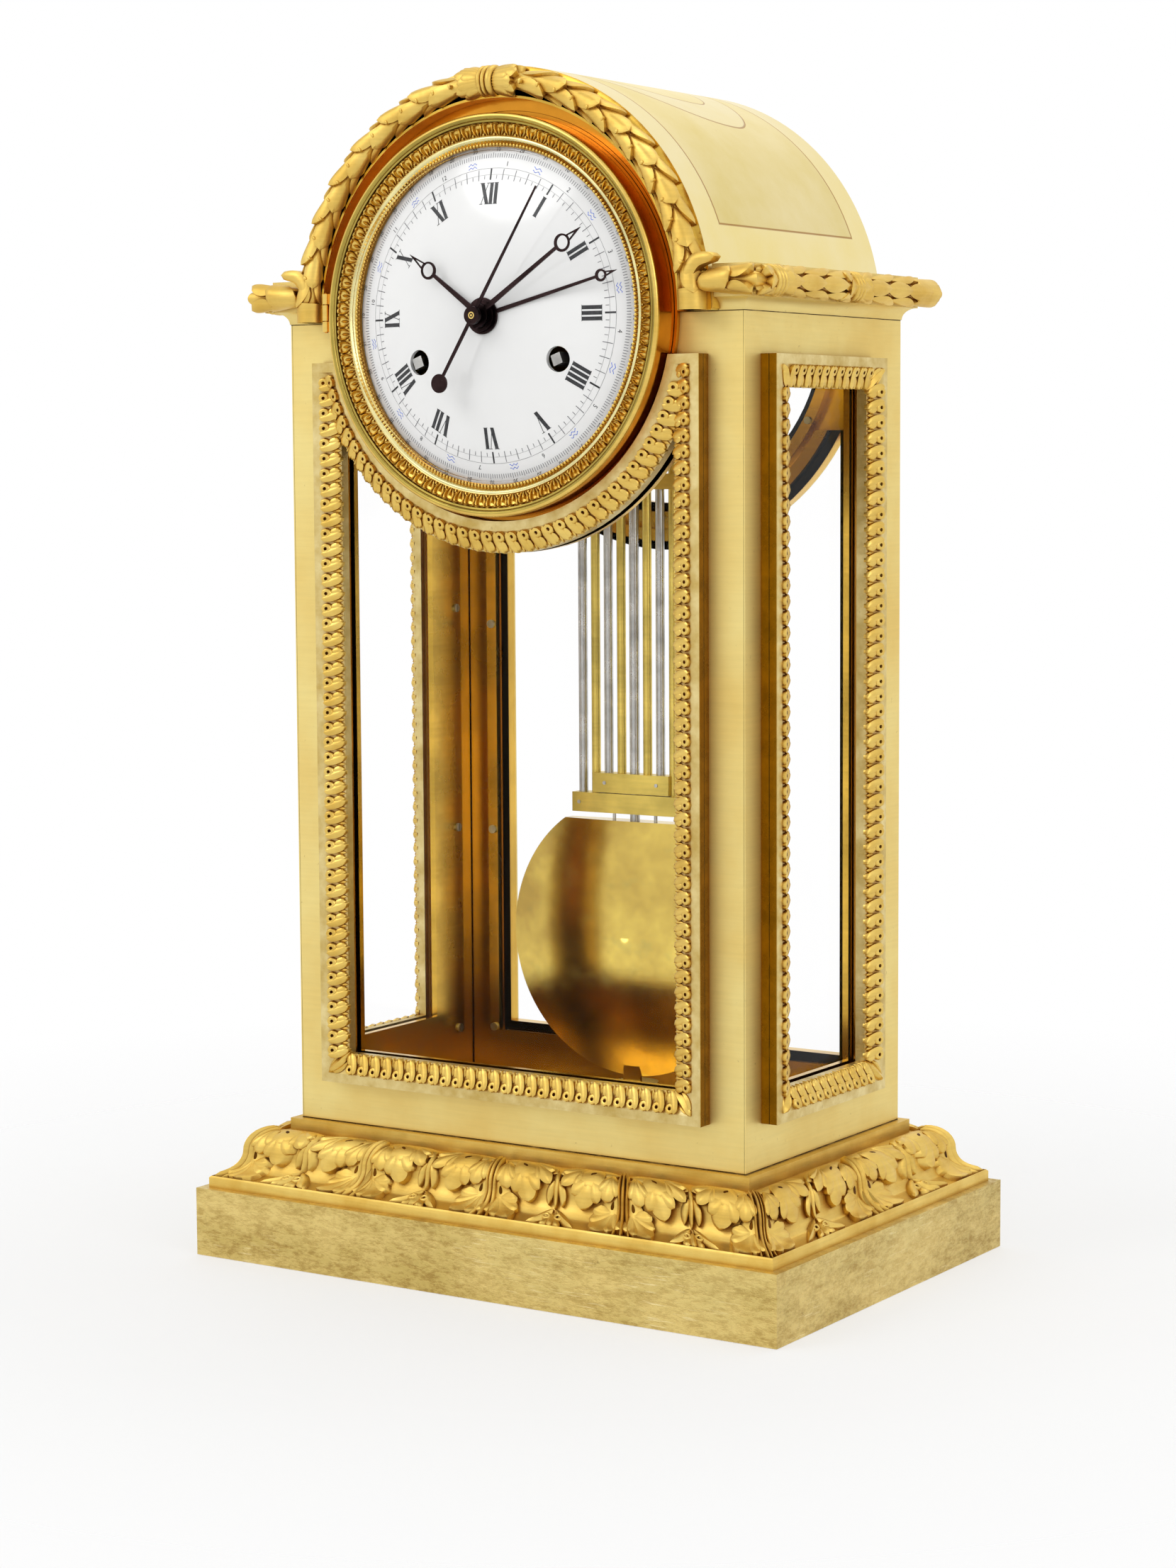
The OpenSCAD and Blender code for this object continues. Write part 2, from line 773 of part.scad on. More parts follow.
module rear_door_glass() {
    color(glass_tint, 0.3) yplate(door_in - glass_t, door_in) {
        circle(r = door_round_r + 3);
        intersection() {
            door_window(3);
            difference() {
                square(2 * body_h, center = true);
                circle(r = door_round_r + 8);
            }
        }
    }
}

module rear_door_strips() {
    color(amber) yplate(door_in - 3.5, door_in) difference() {
        union() {
            circle(r = door_round_r + 7);
            intersection() {
                door_window(7.3);
                difference() {
                    square(2 * body_h, center = true);
                    circle(r = door_round_r + 7.3);
                }
            }
        }
        circle(r = door_round_r + 3.2);
        difference() {
            door_window(3.2);
            circle(r = door_round_r + 7);
        }
    }
}

module rear_door_screws() {
    color(steel) {
        for (s = [-1, 1], z = [frame_z0 + 4, frame_z0 + 78, frame_z0 + 154])
            ycyl(1.5, door_in - 4.3, door_in - 3.5, [s * (door_window_x + 5.2), z - dial_z]);
        for (a = [30:60:330]) ycyl(1.3, door_in - 4.3, door_in - 3.5,
            (door_round_r + 5.1) * [cos(a), sin(a)]);
    }
}

module rear_door_knob() {
    knob_at = [inner_x - 7, -120];
    color(gold) {
        ycyl(2, half_d, half_d + 4.2, knob_at);
        ycyl(4, half_d + 4, half_d + 7, knob_at);
    }
}

module plate_holes() {
    for (at = [going_at, strike_at]) ycyl(arbor_r + fit, -100, 100, at);
    for (at = [second_at, minute_at, third_at, pin_at, lock_at, fly_at, hammer_at])
        ycyl(0.5 + fit, -100, 100, at);
}

module movement_front_plate() {
    color(gold) difference() {
        union() {
            ycyl(plate_r, plate_y, plate_y + plate_t);
            ycyl(plate_r + 10, inner_y, plate_y, [0, 0], plate_r - 7);
            ycyl(0.8, hour_y - 1.5, plate_y + eps, motion_at);
            ycyl(0.8, setting_y - 0.6, plate_y + eps, idler_at);
        }
        ycyl(cannon_r + fit, -100, 100);
        plate_holes();
    }
}

module movement_back_plate() {
    color(gold) difference() {
        ycyl(plate_r, back_y, back_y + plate_t);
        ycyl(2, -100, 100);
        ycyl(2, -100, 100, hang_at);
        plate_holes();
    }
}

// Turned pillars between the plates
module movement_pillars() {
    y0 = plate_y + plate_t;
    long = back_y - y0;
    color(gold) for (at = pillar_at) translate([at[0], y0, dial_z + at[1]]) rotate([-90, 0, 0])
        rotate_extrude() difference() {
            union() {
                square([1.9, long]);
                for (y = [0, long - 4]) translate([0, y]) square([3, 4]);
                translate([0, long / 2 - 1]) square([2.6, 2]);
            }
            for (y = [4, long - 4]) translate([3, y]) circle(r = 0.9);
        }
}

// Bridge behind the back plate that carries the seconds arbor
module escapement_bridge() {
    y0 = back_y + plate_t;
    foot_r = 40;
    bridge_y = 10.6;
    color(gold) difference() {
        union() {
            yplate(y0 + bridge_y, y0 + bridge_y + 2.3) {
                square([2 * foot_r, 8], center = true);
                for (s = [-1, 1]) translate([s * foot_r, 0]) circle(r = 4);
            }
            for (s = [-1, 1]) ycyl(4, y0, y0 + bridge_y + eps, [s * foot_r, 0]);
        }
        ycyl(0.5 + fit, -100, 100);
    }
}

// Bracket on the back plate that holds the suspension spring and the pallet pivot
module suspension_cock() {
    y0 = back_y + plate_t;
    cock_z = hang_abs + 4;
    color(gold) difference() {
        union() {
            box([-9, y0, cock_z - 7], [9, y0 + 4, cock_z + 2]);
            box([-9, y0, cock_z + 2], [9, pend_y + 4, cock_z + 7]);
            box([-3, y0 + 4, hang_abs - 2.5], [3, y0 + 4.5, cock_z + 2 + eps]);
            box([-4, pend_y - 3, cock_z - 0.5], [4, pend_y + 3, cock_z + 2 + eps]);
        }
        ycyl(0.6 + fit, y0 - 1, y0 + 6, hang_at);
        box([-9.1, y0 - 1, hang_abs - 4], [-3.1, y0 + 4.1, hang_abs + 0.5]);
        box([3.1, y0 - 1, hang_abs - 4], [9.1, y0 + 4.1, hang_abs + 0.5]);
    }
}

module suspension_spring() {
    color(steel) for (s = [-1, 1])
        box([s * 2.2 - 1, pend_y - 0.08, hang_abs + 0.1], [s * 2.2 + 1, pend_y + 0.08, hang_abs + 3.5]);
}

// Crossbars of the gridiron, with the chops on top
module gridiron_bars() {
    bars = [[low_bar_z, 24.4, bar_h], [small_bar_z, 15.7, bar_h], [high_bar_z, 24.4, high_bar_h],
        [high_bar_z + 9, 19, high_bar_h], [high_bar_z + 18, 24.4, high_bar_h]];
    color(gold) difference() {
        union() {
            for (b = bars) box([-b[1], pend_y - bar_y - 1.6, b[0]], [b[1], pend_y + bar_y + 1.6, b[0] + b[2]]);
            box([-3.2, pend_y - 1.3, hang_abs - 9], [3.2, pend_y + 1.3, hang_abs - 3.5]);
            for (s = [-1, 1]) box([s * 2.2 - 1, pend_y - 0.08, hang_abs - 3.6],
                [s * 2.2 + 1, pend_y + 0.08, hang_abs - 0.1]);
        }
        rod_holes();
    }
}

function rod_x(i) = i * rod_pitch;
guide_x = 1.6 * rod_pitch;
guide_r = 0.63;
thread_r = 1.5;
thread_top = bob_z - bob_r + 8;

module rod_holes() {
    for (i = [-4:4]) translate([rod_x(i), pend_y, low_bar_z - 1])
        cylinder(r = (i == 0 ? centre_rod_d : rod_d) / 2, h = high_bar_z + 30 - low_bar_z);
    for (s = [-1, 1]) translate([s * guide_x, pend_y, low_bar_z - 1])
        cylinder(r = guide_r, h = small_bar_z + bar_h - 3 - low_bar_z);
}

rod_top = high_bar_z + 18 + high_bar_h;

module rod(i) {
    foot = abs(i) == 1 || abs(i) == 2 ? small_bar_z : low_bar_z;
    head = abs(i) == 3 || abs(i) == 2 ? rod_top - 9 : rod_top;
    translate([rod_x(i), pend_y, foot]) cylinder(r = rod_d / 2, h = (abs(i) == 1 ? rod_top - 18 : head) - foot);
}

module steel_rods() {
    color(steel) {
        for (i = [-4, -2, 2, 4]) rod(i);
        translate([0, pend_y, thread_top]) cylinder(r = centre_rod_d / 2, h = rod_top - thread_top);
        translate([0, pend_y, rod_top]) cylinder(r = 1.3, h = hang_abs - 9 - rod_top);
        for (s = [-1, 1]) translate([s * guide_x, pend_y, bob_top - 4])
            cylinder(r = guide_r, h = small_bar_z + bar_h - bob_top);
        translate([0, pend_y, nut_z - 2.5]) cylinder(r = thread_r, h = thread_top + 2.5 - nut_z);
    }
}

module brass_rods() {
    color(amber) for (i = [-3, -1, 1, 3]) rod(i);
}

module gridiron_pins() {
    face = pend_y - bar_y - 1.6;
    color(steel) for (p = [[4, low_bar_z], [2, small_bar_z]], s = [-1, 1])
        translate([s * rod_x(p[0]), face, p[1] + bar_h / 2]) rotate([90, 0, 0]) cylinder(r = 0.65, h = 0.3);
}

// Lens with a flat top and a band round the rim
module bob() {
    bulge = (bob_t - bob_rim) / 2;
    lens_r = (bob_r * bob_r + bulge * bulge) / (2 * bulge);
    tongue = 3.7;
    color(gold) difference() {
        union() {
            translate([0, pend_y, bob_z]) rotate([90, 0, 0]) rotate_extrude() intersection() {
                translate([0, -bob_t]) square([bob_r, 2 * bob_t]);
                translate([0, lens_r - bob_t / 2]) circle(r = lens_r, $fn = 1440);
                translate([0, bob_t / 2 - lens_r]) circle(r = lens_r, $fn = 1440);
            }
            translate([0, pend_y, bob_z - bob_r]) rotate([90, 0, 0]) translate([0, 0, bob_rim / 2 - 0.5])
                linear_extrude(1.2) polygon([[-tongue, -2.5], [tongue, -2.5], [3, 8], [-3, 8]]);
        }
        box([-bob_r, pend_y - bob_t, bob_top], [bob_r, pend_y + bob_t, bob_top + 20]);
        translate([0, pend_y, bob_z - bob_r - 1]) cylinder(r = centre_rod_d / 2 + fit, h = 2 * bob_r);
        for (s = [-1, 1]) translate([s * guide_x, pend_y, bob_top - 6]) cylinder(r = guide_r + fit, h = 8);
    }
}

module rating_nut() {
    knurls = 48;
    color(gold) translate([0, pend_y, nut_z]) difference() {
        union() {
            linear_extrude(nut_h) polygon([for (i = [0:2 * knurls - 1])
                (nut_r - (i % 2) * 0.3) * [cos(i * 180 / knurls), sin(i * 180 / knurls)]]);
            translate([0, 0, -1.5]) cylinder(r = 3, h = 1.6);
        }
        translate([0, 0, -5]) cylinder(r = thread_r + fit, h = 12);
    }
}

// Open pointed tip beyond the ring of a hand
module open_tip(ring_at, tip_at, w) {
    difference() {
        polygon([[-w, ring_at], [0, tip_at], [w, ring_at]]);
        polygon([[-w + 0.5, ring_at + 0.5], [0, tip_at - 2.6], [w - 0.5, ring_at + 0.5]]);
    }
}

module hand_ring(at, r) {
    translate([0, at]) difference() {
        circle(r = r);
        translate([0, 0.2]) circle(r = r - 0.75);
    }
}

module shank(len, root_w, end_w) {
    polygon([[-root_w / 2, 0], [root_w / 2, 0], [end_w / 2, len], [-end_w / 2, len]]);
}

seconds_a = 32;
minute_a = 56.5;
hour_a = -53.4;
calendar_a = 75.4;
hand_t = 0.5;

module seconds_hand() {
    color(blued) difference() {
        union() {
            yplate(seconds_y, seconds_y + hand_t) rotate(-seconds_a) {
                shank(47.2, 1.2, 0.5);
                mirror([0, 1]) shank(23, 1.2, 1);
                translate([0, -25.5]) circle(r = 3.1);
                circle(r = 2.9);
            }
            ycyl(2.9, seconds_y - 0.6, seconds_y + 1);
        }
        ycyl(seconds_r - 0.1, seconds_y + eps, seconds_y + 3);
    }
    color(steel) {
        ycyl(seconds_r, seconds_y + 1, third_y + 8);
        ycyl(seconds_r, third_y, pin_wheel_y + 1);
        ycyl(0.5, pin_wheel_y, back_y + plate_t + 12.7);
        pinion(leaf_teeth, third_m, third_y - 1.5, third_y + 3, [0, 0]);
    }
}

// Wheel whose pins stand out on both faces
module pin_wheel() {
    count = 30;
    rim_r = pin_ring_r + 1.5;
    color(gold) difference() {
        union() {
            yplate(pin_wheel_y, pin_wheel_y + wheel_t) difference() {
                circle(r = rim_r);
                difference() {
                    circle(r = pin_ring_r - 2);
                    circle(r = 3.2);
                    for (a = [0:60:300]) rotate(a) translate([0, -0.7]) square([pin_ring_r, 1.4]);
                }
            }
            for (i = [0:count - 1]) {
                ycyl(0.4, pin_wheel_y + wheel_t - eps, pin_wheel_y + wheel_t + 1.5,
                    pin_ring_r * [cos((i + 0.5) * 360 / count), sin((i + 0.5) * 360 / count)]);
                ycyl(0.4, pin_wheel_y - 1.5, pin_wheel_y + eps,
                    pin_ring_r * [cos(i * 360 / count), sin(i * 360 / count)]);
            }
        }
        ycyl(seconds_r, -100, 100);
    }
}

// Bar of width w between two points
module bar(a, b, w) {
    translate(a) rotate(atan2(b[1] - a[1], b[0] - a[0])) translate([0, -w / 2]) square([norm(b - a), w]);
    translate(b) circle(r = w / 2);
}

// Pallet arms that hang beside the pin wheel, one in front and one behind, with the crutch
module pallets() {
    outer_x = pin_ring_r + 5;
    inner_x = pin_ring_r - 4.5;
    pin_len = 1.5;
    arm_t = 1;
    rear_y = pin_wheel_y + wheel_t + pin_len + 0.2;
    crutch_y = pend_y - 6;
    elbow = [24, 26];
    color(steel) {
        ycyl(1.2, back_y + plate_t + 4.7, crutch_y + 1.2, hang_at);
        ycyl(0.6, back_y + plate_t + 0.4, back_y + plate_t + 5, hang_at);
        yplate(pin_wheel_y - 1.4, pin_wheel_y - 1.4 + arm_t) {
            bar(hang_at, elbow, 2);
            bar(elbow, [outer_x, 0], 2);
            translate(hang_at) circle(r = 3);
        }
        yplate(rear_y, rear_y + arm_t) {
            bar(hang_at, [inner_x, 0], 2);
            translate(hang_at) circle(r = 3);
        }
        ycyl(1, rear_y - 1.4, rear_y + eps, [inner_x, 0]);
        yplate(crutch_y, crutch_y + 1.2) {
            bar(hang_at, [0, 0], 2);
            translate(hang_at) circle(r = 3);
            square([6.4, 2], center = true);
        }
        for (s = [-1, 1]) ycyl(0.7, crutch_y + 1, pend_y + 2, [s * 2.2, 0]);
    }
}

module minute_hand() {
    ring_at = 39.8;
    color(blued) yplate(minute_hand_y, minute_hand_y + hand_t) rotate(-minute_a) difference() {
        union() {
            shank(ring_at - 2.6, 1.9, 1.1);
            hand_ring(ring_at, 2.9);
            open_tip(ring_at + 2.5, 48.3, 1.2);
            circle(r = 4);
        }
        circle(r = cannon_r - 0.1);
    }
    color(steel) {
        ycyl(cannon_r, minute_hand_y - 0.8, plate_y + plate_t + 0.3, [0, 0], seconds_r + fit);
        difference() {
            pinion(cannon_teeth, train_m, motion_y - 0.5, motion_y + 1.5, [0, 0]);
            ycyl(cannon_r - 0.1, -100, 0);
        }
    }
}

// Wheel that turns the minute pipe through a friction bush
module cannon_wheel() {
    color(gold) difference() {
        union() {
            wheel(setting_teeth, train_m, setting_y, [0, 0], cannon_turn, 1);
            ycyl(2.3, setting_y, plate_y - 0.3);
        }
        ycyl(cannon_r + fit, -100, 0);
    }
}

// Wheel between the minute arbor and the cannon wheel, on a stud
module idler_wheel() {
    color(gold) wheel(setting_teeth, train_m, setting_y, idler_at, idler_turn, 1, 2, 0.8 + fit);
}

module motion_wheel() {
    color(gold) difference() {
        union() {
            wheel(motion_teeth, train_m, motion_y, motion_at, motion_turn, 1);
            pinion(motion_leaves, hour_m, hour_y - 0.5, motion_y + 0.5, motion_at);
        }
        ycyl(0.8 + fit, -100, 100, motion_at);
    }
}

module hour_hand() {
    ring_at = 25.5;
    color(blued) yplate(hour_hand_y, hour_hand_y + hand_t) rotate(-hour_a) difference() {
        union() {
            shank(ring_at - 2.6, 2.1, 1.2);
            hand_ring(ring_at, 2.9);
            open_tip(ring_at + 2.5, 34.7, 1.2);
            circle(r = 5);
        }
        circle(r = hour_r - 0.1);
    }
    color(gold) {
        ycyl(hour_r, hour_hand_y - 0.7, hour_y + 1.2, [0, 0], cannon_r + fit);
        ycyl(3.75, hour_hand_y - 0.6, hour_hand_y + eps, [0, 0], hour_r - 0.1);
        wheel(hour_teeth, hour_m, hour_y, [0, 0], hour_turn, 1, 3.4, hour_r - 0.1);
    }
}

// Hand of the annual calendar, bent back to follow the dial, with its wheel
module calendar_hand() {
    ring_at = 46;
    tip = 52.2;
    lean = 2.4;
    color(blued) difference() {
        union() {
            translate([0, calendar_hand_y + hand_t, dial_z]) rotate([0, calendar_a, 0])
                rotate([90 - lean, 0, 0]) linear_extrude(hand_t) {
                    shank(ring_at - 1.7, 1.5, 0.9);
                    hand_ring(ring_at, 2);
                    open_tip(ring_at + 1.6, tip, 0.9);
                }
            ycyl(5.95, calendar_hand_y, calendar_hand_y + hand_t);
        }
        ycyl(calendar_r - 0.1, -100, 0);
    }
    color(gold) {
        ycyl(calendar_r, calendar_hand_y, calendar_y + 1, [0, 0], hour_r + fit);
        wheel(calendar_teeth, 0.5, calendar_y, [0, 0], 0, 0.8, 5, calendar_r - 0.1, 5);
    }
}

// Spring barrel with its great wheel, free on the winding arbor
module barrel(at, turn) {
    lip = 1.2;
    color(gold) difference() {
        union() {
            ycyl(barrel_r, drum_y0, drum_y1, at);
            ycyl(barrel_r - 3, drum_y1 - eps, great_y + eps, at);
            yplate(great_y, great_y + 2) translate(at) rotate(turn) teeth(great_teeth, train_m);
        }
        ycyl(barrel_r - 2, drum_y0 - 1, drum_y0 + lip, at, 5);
        ycyl(arbor_r + fit, -100, 100, at);
    }
}

arbor_r = 2.6;

module going_barrel() {
    barrel(going_at, going_turn);
}

module strike_barrel() {
    barrel(strike_at, 0);
}

// Arbor wound by a key on its square front end, with the click wheel on the front plate
module winding_arbor(at) {
    square_y = dial_apex + 1.5;
    square_w = 3.6;
    color(steel) {
        ycyl(arbor_r, plate_y - 3, back_y + plate_t + 0.2, at);
        yplate(square_y, plate_y - 3 + eps) translate(at) rotate(20) square(square_w, center = true);
        yplate(plate_y - 2, plate_y - 0.8) translate(at) difference() {
            teeth(30, 0.5);
            circle(r = arbor_r - 0.1);
        }
    }
}

module second_wheel() {
    color(steel) {
        arbor(second_at);
        pinion(pinion_teeth, train_m, great_y - 0.7, great_y + 3, second_at);
    }
    color(gold) wheel(wheel_teeth, pin_m, wheel_y, second_at, second_turn);
}

module minute_arbor() {
    color(steel) {
        arbor(minute_at);
        ycyl(0.5, setting_y - 0.5, plate_y + 0.3, minute_at);
        pinion(pinion_teeth, pin_m, wheel_y - 1, wheel_y + 3, minute_at);
    }
    color(gold) {
        wheel(minute_teeth, third_m, minute_y, minute_at, minute_turn);
        wheel(setting_teeth, train_m, setting_y, minute_at, 0, 1, 2);
    }
}

module third_wheel() {
    color(steel) {
        arbor(third_at, 0.8);
        pinion(leaf_teeth, third_m, minute_y - 1, minute_y + 3, third_at);
    }
    color(gold) wheel(third_teeth, third_m, third_y, third_at, third_turn);
}

// Wheel with lifting pins for the hammer
module strike_pin_wheel() {
    color(steel) {
        arbor(pin_at);
        pinion(pinion_teeth, train_m, great_y - 0.7, great_y + 3, pin_at, pin_turn);
        for (a = [0:36:324]) ycyl(0.5, wheel_y - 2, wheel_y + eps, pin_at + 12.1 * [cos(a), sin(a)]);
    }
    color(gold) wheel(wheel_teeth, pin_m, wheel_y, pin_at);
}

module locking_wheel() {
    color(steel) {
        arbor(lock_at, 0.8);
        pinion(leaf_teeth, pin_m, wheel_y - 1, wheel_y + 3, lock_at, lock_turn);
    }
    color(gold) wheel(lock_teeth, train_m, lock_y, lock_at);
}

// Air brake of the striking train
module fly() {
    color(steel) {
        arbor(fly_at, 0.7);
        pinion(fly_leaves, train_m, lock_y - 1.5, lock_y + 2.5, fly_at, fly_turn);
    }
    color(gold) {
        ycyl(1.4, lock_y + 5, back_y - 4, fly_at);
        yplate(lock_y + 6, back_y - 5) translate(fly_at) rotate(30) square([13, 0.5], center = true);
    }
}

bell_at = [-30, 43.3];
bell_r = 20;
bell_y = back_y - 21.5;

module hammer() {
    head_x = bell_at[0] - bell_r - 3.6;
    color(steel) {
        arbor(hammer_at, 1);
        yplate(bell_y - 1, bell_y + 1) {
            translate(hammer_at) circle(r = 2.4);
            translate(hammer_at) rotate(atan2(bell_at[1] - hammer_at[1], head_x - hammer_at[0]))
                translate([0, -0.8]) square([norm([head_x, bell_at[1]] - hammer_at), 1.6]);
        }
    }
    color(gold) translate([head_x - 2.5, bell_y, dial_z + bell_at[1] + 1]) rotate([0, 90, 0])
        cylinder(r = 2.6, h = 5.4);
}

// Bell on its post, which stands on a rod between the plates
module bell() {
    post_z = 38;
    color(gold) translate([bell_at[0], bell_y, dial_z + bell_at[1]]) rotate_extrude() difference() {
        intersection() {
            translate([0, -4]) circle(r = bell_r + 0.4);
            square([bell_r + 2, bell_r]);
        }
        intersection() {
            translate([0, -4]) circle(r = bell_r - 1.2);
            translate([-1, -1]) square([bell_r + 2, bell_r]);
        }
        square([1, 30]);
    }
    color(steel) {
        translate([bell_at[0], bell_y, dial_z + post_z]) cylinder(r = 1, h = bell_r + 4);
        ycyl(1.5, plate_y + plate_t, back_y, [bell_at[0], post_z]);
    }
}

plinth();
base_moulding();
case_floor();
front_wall();
side_walls();
cornice();
laurel_torus();
arch_front();
arch_moulding();
laurel_arch();
vault();
front_frame();
side_frames();
window_glasses();
glazing_strips();
glazing_screws();
bezel_seat();
bezel();
bezel_glass();
bezel_hinge();
dial();
rear_door();
rear_door_glass();
rear_door_strips();
rear_door_screws();
rear_door_knob();
rear_hinges();
movement_front_plate();
movement_back_plate();
movement_pillars();
escapement_bridge();
suspension_cock();
suspension_spring();
gridiron_bars();
steel_rods();
brass_rods();
gridiron_pins();
bob();
rating_nut();
seconds_hand();
pin_wheel();
pallets();
minute_hand();
motion_wheel();
cannon_wheel();
idler_wheel();
hour_hand();
calendar_hand();
going_barrel();
winding_arbor(going_at);  // going_winding_arbor
strike_barrel();
winding_arbor(strike_at);  // strike_winding_arbor
second_wheel();
minute_arbor();
third_wheel();
strike_pin_wheel();
locking_wheel();
fly();
hammer();
bell();
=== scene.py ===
"""Mantel regulator clock: carved mounts, dial printing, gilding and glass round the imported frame.

Shapes are worked out in millimetres and turned into metres when a mesh is made.
Seen from the front, X runs to the right, Y to the back and Z up.
"""

import math

import bpy
import numpy as np
from mathutils import Matrix, Vector


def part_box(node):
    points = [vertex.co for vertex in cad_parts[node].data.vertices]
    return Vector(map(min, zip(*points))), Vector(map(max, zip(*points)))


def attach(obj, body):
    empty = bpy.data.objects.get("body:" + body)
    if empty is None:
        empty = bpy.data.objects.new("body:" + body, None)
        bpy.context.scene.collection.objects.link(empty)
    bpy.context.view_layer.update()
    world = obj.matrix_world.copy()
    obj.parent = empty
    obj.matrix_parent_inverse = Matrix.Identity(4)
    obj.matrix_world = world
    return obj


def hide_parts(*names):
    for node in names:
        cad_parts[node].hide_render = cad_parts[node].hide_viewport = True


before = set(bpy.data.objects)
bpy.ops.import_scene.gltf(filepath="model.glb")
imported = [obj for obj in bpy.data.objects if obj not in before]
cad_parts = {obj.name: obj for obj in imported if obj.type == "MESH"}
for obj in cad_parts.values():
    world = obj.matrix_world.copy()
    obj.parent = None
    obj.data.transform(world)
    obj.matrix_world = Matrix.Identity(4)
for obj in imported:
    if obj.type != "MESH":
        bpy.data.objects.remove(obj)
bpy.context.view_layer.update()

bl_info = {
    "name": "Mantel Regulator Clock",
    "version": (1, 0, 0),
    "blender": (4, 5, 0),
    "location": "3D View > Sidebar > Clock",
    "description": "Builds the carved mounts, dial, finishes and stage of a mantel regulator",
    "category": "Object",
}

MM = 0.001


def box_mm(node):
    """Lowest and highest corner of a frame node, in millimetres."""
    return [np.array(corner) * 1000 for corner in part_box(node)]


HALF_W = box_mm("side_walls")[1][0]
FRONT_Y = box_mm("front_wall")[0][1]
HALF_D = -FRONT_Y
PLINTH_H = box_mm("plinth")[1][2]
BASE_TOP = box_mm("base_moulding")[1][2]
DIAL_Z = box_mm("front_wall")[1][2]
VAULT_R = box_mm("vault")[1][0]
VAULT_FRONT = box_mm("vault")[0][1]
BEZEL_R = -box_mm("bezel_seat")[0][0] - 1.1
BEZEL_FRONT, BEZEL_BACK = box_mm("bezel")[0][1], box_mm("bezel")[1][1]
BEZEL_SIGHT = BEZEL_R - 10.7
FRAME_LOW, FRAME_HIGH = box_mm("front_frame")
SIDE_LOW, SIDE_HIGH = box_mm("side_frames")
DIAL_APEX = box_mm("dial")[0][1]
CORNICE_LOW = box_mm("cornice")[0][2]

# Radius of the dome of the dial, and of the well that the bezel closes
DIAL_DOME = 208.0
WELL_R = BEZEL_R + 1.4

# Window frames: plain border, width of the leaf band, its fall towards the glass, end of a row,
# and the degrees of the ring under the dial that carry leaves
BORDER = 3.2
BAND = 7.1
BAND_DROP = 2.4
BAND_INSET = BAND - 1.0
RING_SPREAD = 148

# Laurel on the arch: radius and depth of its middle line, its core and its outside, the angles of
# its columns round the core, and the angles from the top between which its leaves lie
ARCH_RING = VAULT_R - 5.1
ARCH_Y = VAULT_FRONT - 3.2
ARCH_CORE = 2.9
ARCH_OUTSIDE = 5.45
LAUREL_COLUMNS = (-105, -35, 35, 105)
LAUREL_FROM, LAUREL_TO = 10.5, 84

# Laurel torus on the cornice: height and distance from the wall, its core and its outside, its
# inner face, its end at the back and the angles of its columns
TORUS_Z = DIAL_Z + 8.8
TORUS_OUT = 7.95
TORUS_CORE = 2.5
TORUS_OUTSIDE = 5.3
TORUS_INNER = 4.4
TORUS_REAR_END = 87.6
TORUS_COLUMNS = (-150, -75, 0, 75, 150)

# Panel on the vault: half its turn in degrees and half its depth, then for each rounded outline
# on it the half turn in degrees, the middle, and the reach to the back and to the front
PANEL_TURN, PANEL_HALF = 70, 43.8
TONGUES = ((38, 12.0, 27.0, 52.0), (27, 9.0, 19.0, 44.0))

# Ogee of the base: foot, top fillet, radius of the round, start of the round, depth of its ground
OGEE_LOW = 4.1
OGEE_TOP = 3.4
OGEE_ROUND = 7.5
OGEE_CREST = 6.5
OGEE_INSET = 1.3

# Width of the bay that the acanthus leaves are drawn for, and the length and width of the lobe
# beside the middle one, as shares of it
DRAWN_BAY = 45.0
SIDE_LOBE_LENGTH, SIDE_LOBE_WIDTH = 0.78, 0.72

# Rings of the dial
NUMERAL_LOW, NUMERAL_HIGH = 36.0, 43.0
MINUTE_LOW, MINUTE_HIGH = 43.9, 47.6
DAY_LOW, DAY_HIGH = 51.1, 52.5
DAY_NUMBER_R = 53.75
MONTH_NUMBER_R = 49.1
SIGN_R = 49.2
DAYS, MONTHS, MONTH_DAYS = 365, 12, 30.4

# Camera: turn, rise and roll in degrees, place in metres, sizes in pixels of the photograph
CAMERA_ANGLES = (33.092, 5.676, -0.339)
CAMERA_PLACE = (0.6103, -0.9422, 0.2760)
FOCAL_LENGTH_PX = 4598
PHOTO_HEIGHT_PX = 2212
SENSOR = 36.0

# Soft lamps: name, place and size in metres, power in watts
LAMPS = (("key_lamp", (-0.9, -1.5, 1.5), 1.2, 7.5),
         ("fill_lamp", (1.6, -0.6, 0.9), 1.1, 3.6),
         ("top_lamp", (0.1, 0.4, 1.9), 1.2, 5.0))
LAMP_AIM = Vector((0, 0, 0.2))
FLOOR_HALF = 6000


# Meshes


def mesh_from(name, points, faces, materials=(), smooth=40):
    """Mesh from points in millimetres, shaded smooth up to an angle in degrees."""
    mesh = bpy.data.meshes.new(name)
    mesh.from_pydata((np.asarray(points, float) * MM).tolist(), [], faces)
    mesh.validate()
    for material in materials:
        mesh.materials.append(material)
    if smooth:
        mesh.shade_smooth()
        mesh.set_sharp_from_angle(angle=math.radians(smooth))
    return mesh


def add_object(name, data):
    """New object in the scene, in place of one that an earlier run of its step left."""
    old = bpy.data.objects.get(name)
    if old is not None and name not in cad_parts:
        bpy.data.objects.remove(old)
    piece = bpy.data.objects.new(name, data)
    bpy.context.scene.collection.objects.link(piece)
    return piece


def finish_piece(piece, body, replaced=()):
    """Fixes a finished piece to its body and hides the nodes that it stands for."""
    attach(piece, body)
    if replaced:
        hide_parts(*replaced)
    return piece


